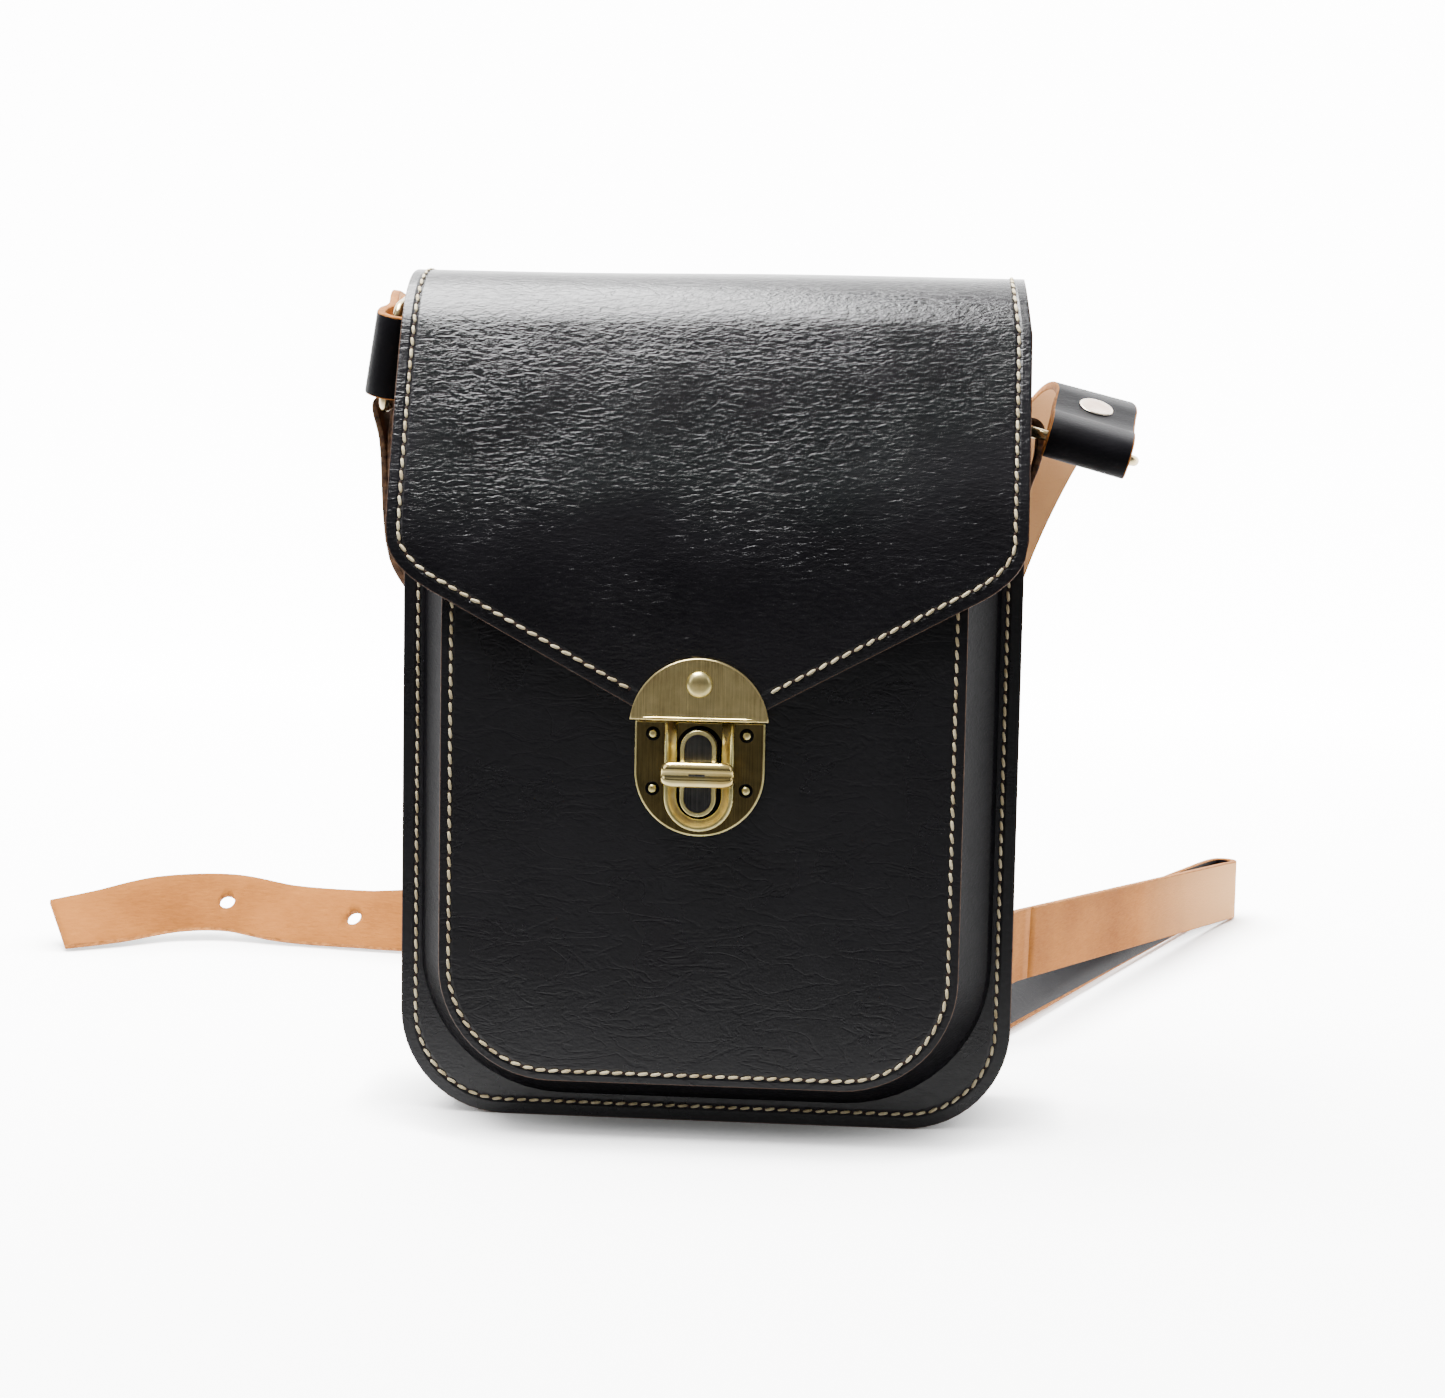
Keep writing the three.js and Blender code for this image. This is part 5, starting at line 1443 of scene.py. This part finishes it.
def span_points(ribbon, t, reach):
    """Two points along a ribbon at either side of t, in metres."""
    a, b = ribbon.centre(ribbon.step(t, -reach)), ribbon.centre(ribbon.step(t, reach))
    return a * MM, b * MM


def build_straps():
    stations, bend_station = left_stations()
    left = Ribbon(stations)
    n = len(stations) - 1
    bend = bend_station / n
    # The left strap: its hanging length, and a tongue that starts 60 mm above where it turns on to the floor.
    seam = left.step(bend, -60)
    upper = left.band("strap_left_hanging", 0, seam, ["strap", "tan", "strap_edge"])
    tongue = left.band("strap_left_tongue_leather", seam, 1, ["strap", "tongue", "strap_edge"])
    for i in range(3):
        drill(tongue, left, left.step(1, -(FIRST_HOLE + i * HOLE_PITCH)), HOLE_RADIUS)
    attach(upper, "strap_left_upper")
    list(span_points(left, bend, 12))
    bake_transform(tongue)
    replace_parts(upper, "strap_left_upper")
    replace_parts(tongue, "strap_left_tongue")
    rivet("strap_left_rivet_head", "strap_left_rivet", "strap_left_upper", left,
          (LOOP_STATIONS + RIVETED) / n, 2 * LOOP_LAYERS[RIVETED][1])

    stations, marks = right_stations()
    right = Ribbon(stations)
    bend, fold = marks["bend"], marks["fold"]
    middle = right.step(bend, 13)
    seam = right.step(bend, -45)
    far = right.step(fold, 60)
    upper = right.band("strap_right_hanging", 0, seam, ["strap", "tan", "strap_edge"])
    turn = right.band("strap_right_turn", seam, middle, ["strap", "tan", "strap_edge"])
    out = right.band("strap_right_run", middle, far, ["strap", "tan", "strap_edge"])
    home = right.band("strap_right_home", far, 1, ["strap", "tan", "strap_edge"])
    drill(home, right, marks["wrap"], 2.6, 4.2)
    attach(upper, "strap_right_upper")
    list(span_points(right, bend, 12))
    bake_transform(turn)
    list(span_points(right, fold, 9))
    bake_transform(out)
    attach(home, "strap_right_return")
    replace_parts(upper, "strap_right_upper")
    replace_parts(out, "strap_right_out")
    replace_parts(home, "strap_right_return")
    rivet("strap_right_rivet_head", "strap_right_rivet", "strap_right_upper", right, marks["rivet"],
          2 * LOOP_LAYERS[RIVETED][1])


def build_buckle():
    bar = pivot("buckle_hinge")
    lo, hi = box("buckle_frame")
    wire = (hi.z - lo.z) / 2
    length, width = hi.x - lo.x - 2 * wire, hi.y - lo.y - 2 * wire
    points = [bar + Vector((-u, v, 0)) for u, v in rounded_loop(length, width, RING_CORNER)]
    ring = tube("buckle_frame_brass", points, wire, "ring_brass", 16, closed=True)
    place(ring, "buckle_frame", "antique_brass", "buckle_frame")
    plo, _ = box("buckle_prong")
    eye_r = wire + 0.3 + 0.75
    eye_angles = np.linspace(-0.6 * math.pi, math.pi, 26)
    eye = [bar + Vector((eye_r * math.cos(a), 0, eye_r * math.sin(a))) for a in eye_angles]
    tip = Vector((plo.x + 0.6, bar.y, bar.z + wire + 1.5))
    start = eye[-1] + Vector((-0.6, 0, 0.5))
    reach = [start.lerp(tip, t) + Vector((0, 0, math.sin(math.pi * t))) for t in np.linspace(0.1, 1, 14)]
    radii = [0.95] * len(eye) + [1.3 - 0.4 * t for t in np.linspace(0, 1, 14)]
    prong = tube("buckle_prong_brass", eye + reach, 1.3, "ring_brass", 14, radii=radii)
    place(prong, "buckle_prong", "antique_brass", "buckle_prong")

    lo, hi = box("buckle_rivet")
    c = (lo + hi) / 2
    head = Vector((c.x, c.y, hi.z - 1.3))
    top = disc("buckle_rivet_top", head, Vector((0, 0, 1)), hi.x - c.x, "copper")
    shank_ends = [Vector((c.x, c.y, z)) for z in (lo.z + 0.1, hi.z - 1)]
    shank = tube("buckle_rivet_shank", shank_ends, 1.3, "copper")
    cap = join_objects("buckle_rivet_head", [top, shank])
    place(cap, "strap_right_return", "pale_metal", "buckle_rivet")

    lo, hi = box("strap_keeper")
    c = (lo + hi) / 2
    t = 1.7
    loop_w, loop_h = hi.y - lo.y - t, hi.z - lo.z - t
    centre, ups, widths = [], [], []
    outline = rounded_loop(loop_h, loop_w, 1.6)
    outline = outline + outline[:1]
    for u, v in outline:
        centre.append(Vector((c.x, c.y + v, lo.z + t / 2 + u)))
    for i in range(len(centre)):
        a = centre[i - 1] if i else centre[-2]
        b = centre[i + 1] if i + 1 < len(centre) else centre[1]
        along = (b - a).normalized()
        w = Vector((1, 0, 0))
        up = along.cross(w)
        if up.dot(centre[i] - Vector((c.x, c.y, (lo.z + hi.z) / 2))) < 0:
            up = -up
        ups.append(up)
        widths.append(w)
    keeper = band("strap_keeper_leather", centre, ups, widths, hi.x - lo.x, t, ["strap", "tan", "strap_edge"])
    place(keeper, "strap_keeper", "black_leather", "strap_keeper")


# ---- stage ----------------------------------------------------------------------------------------
# The floor curves up into the backdrop: where the curve starts, and its radius.
SWEEP_START, SWEEP_RADIUS = 1400, 900
# Radiance of the room in front of, behind and above the bag.
ROOM_FRONT, ROOM_BACK = 0.07, 7.5
ROOM_CEILING = 0.5
CONTACT_SHADOW = 0.03  # metres that the soft shadow reaches on the floor
# Glow of the floor by distance behind the bag: as a light on the bag, and as the camera sees it.
BACKDROP_GLOW = 5.0
SEEN_GLOW = (2.6, 12.0)
# The lamps' powers in watts.
TOP_POWER, LEFT_POWER, RIGHT_POWER = 80, 2.5, 1.5


def build_stage():
    """A pale floor that curves up behind the object, soft lights and the room's light."""
    curve = [(SWEEP_START + SWEEP_RADIUS * math.sin(a), SWEEP_RADIUS - SWEEP_RADIUS * math.cos(a))
             for a in np.linspace(0, math.pi / 2, 24)]
    line = [(-2500, 0), *curve, (SWEEP_START + SWEEP_RADIUS, 4000)]
    verts = [Vector((x, y, z - 0.05)) for y, z in line for x in (-4000, 4000)]
    faces = grid_faces(len(line), 2)
    s = Shader("studio_floor")
    split = s.add("ShaderNodeSeparateXYZ", Vector=s.object)
    seen = s.add("ShaderNodeLightPath").outputs["Is Camera Ray"]
    near = s.ramp(split.outputs["Y"], -0.20, 0.10, 0.0, 1.0)
    pale = s.mix(s.noise(2.0, 1.0), (0.90, 0.90, 0.895), (0.92, 0.92, 0.915))
    # painted contact shadow: ambient occlusion darkens the floor's colour and glow next to the bag, as the
    # camera sees it
    ambient = s.add("ShaderNodeAmbientOcclusion", Distance=CONTACT_SHADOW, samples=8).outputs["AO"]
    painted_shadow_factor = s.math("POWER", ambient, 2.5)
    glow = s.ramp(seen, 0, 1, s.ramp(split.outputs["Y"], -0.1, 1.6, 0.0, BACKDROP_GLOW),
                  s.math("MULTIPLY", s.ramp(split.outputs["Y"], -0.6, 1.2, *SEEN_GLOW), painted_shadow_factor))
    lit = s.math("MAXIMUM", near, s.math("MULTIPLY", seen, painted_shadow_factor))
    MATERIALS["floor"] = s.finish(
        Base_Color=s.mix(lit, (0.07, 0.07, 0.07), pale), Roughness=0.8,
        Emission_Color=(1.0, 1.0, 1.0), Emission_Strength=glow)
    floor = make("studio_floor", verts, faces, ["floor"])

    def area(name, place, size, power):
        data = bpy.data.lights.new(name, "AREA")
        data.shape = "RECTANGLE"
        data.size, data.size_y = size
        data.energy = power
        light = link(name, data)
        light.location = Vector(place) * MM
        light.rotation_mode = "QUATERNION"
        light.rotation_quaternion = (Vector((0, 0, 120)) * MM - light.location).to_track_quat("-Z", "Y")

    area("top_soft_box", (-320, -60, 1250), (0.9, 0.6), TOP_POWER)
    area("left_soft_box", (-1100, -700, 700), (0.35, 0.9), LEFT_POWER)
    area("right_fill", (1200, -600, 600), (0.3, 0.9), RIGHT_POWER)

    # A bright wall and ceiling behind the bag, and a dim room in front of it.
    world = bpy.data.worlds.new("studio")
    bpy.context.scene.world = world
    world.use_nodes = True
    g = Graph(world.node_tree)
    direction = g.add("ShaderNodeSeparateXYZ", Vector=g.add("ShaderNodeTexCoord").outputs["Generated"])
    behind = g.ramp(direction.outputs["Y"], 0.1, 0.55, ROOM_FRONT, ROOM_BACK)
    above = g.ramp(direction.outputs["Z"], 0.25, 0.7, 0.0, ROOM_CEILING)
    shown = g.add("ShaderNodeMix", Factor=g.add("ShaderNodeLightPath").outputs["Is Camera Ray"])
    g.set(shown, 2, g.math("MAXIMUM", behind, above))
    g.set(shown, 3, ROOM_BACK)
    background = world.node_tree.nodes["Background"]
    g.set(background, "Color", (1, 1, 1))
    g.set(background, "Strength", shown.outputs[0])


CAMERA_PLACE = Vector((61.96, -755.1, 195.0))
CAMERA_TURN, CAMERA_PITCH, CAMERA_ROLL = (math.radians(d) for d in (4.53, 5.63, 1.08))
FOCAL_OVER_WIDTH = 2600 / 1445


def build_camera():
    flat = Vector((-math.sin(CAMERA_TURN), math.cos(CAMERA_TURN), 0))
    right = Vector((math.cos(CAMERA_TURN), math.sin(CAMERA_TURN), 0))
    ahead = flat * math.cos(CAMERA_PITCH) - Vector((0, 0, math.sin(CAMERA_PITCH)))
    up = right.cross(ahead)
    cr, sr = math.cos(CAMERA_ROLL), math.sin(CAMERA_ROLL)
    axis_x = right * cr + up * sr
    axis_y = up * cr - right * sr
    data = bpy.data.cameras.new("view")
    data.sensor_width = 36
    data.lens = 36 * FOCAL_OVER_WIDTH
    data.clip_start, data.clip_end = 0.05, 20
    camera = link("view", data)
    camera.matrix_world = Matrix((
        (axis_x.x, axis_y.x, -ahead.x, CAMERA_PLACE.x * MM),
        (axis_x.y, axis_y.y, -ahead.y, CAMERA_PLACE.y * MM),
        (axis_x.z, axis_y.z, -ahead.z, CAMERA_PLACE.z * MM),
        (0, 0, 0, 1),
    ))
    bpy.context.scene.camera = camera


build_body()
build_pocket()
build_flap()
build_lock()
build_rings()
build_tabs()
build_straps()
build_buckle()
build_stage()
build_camera()
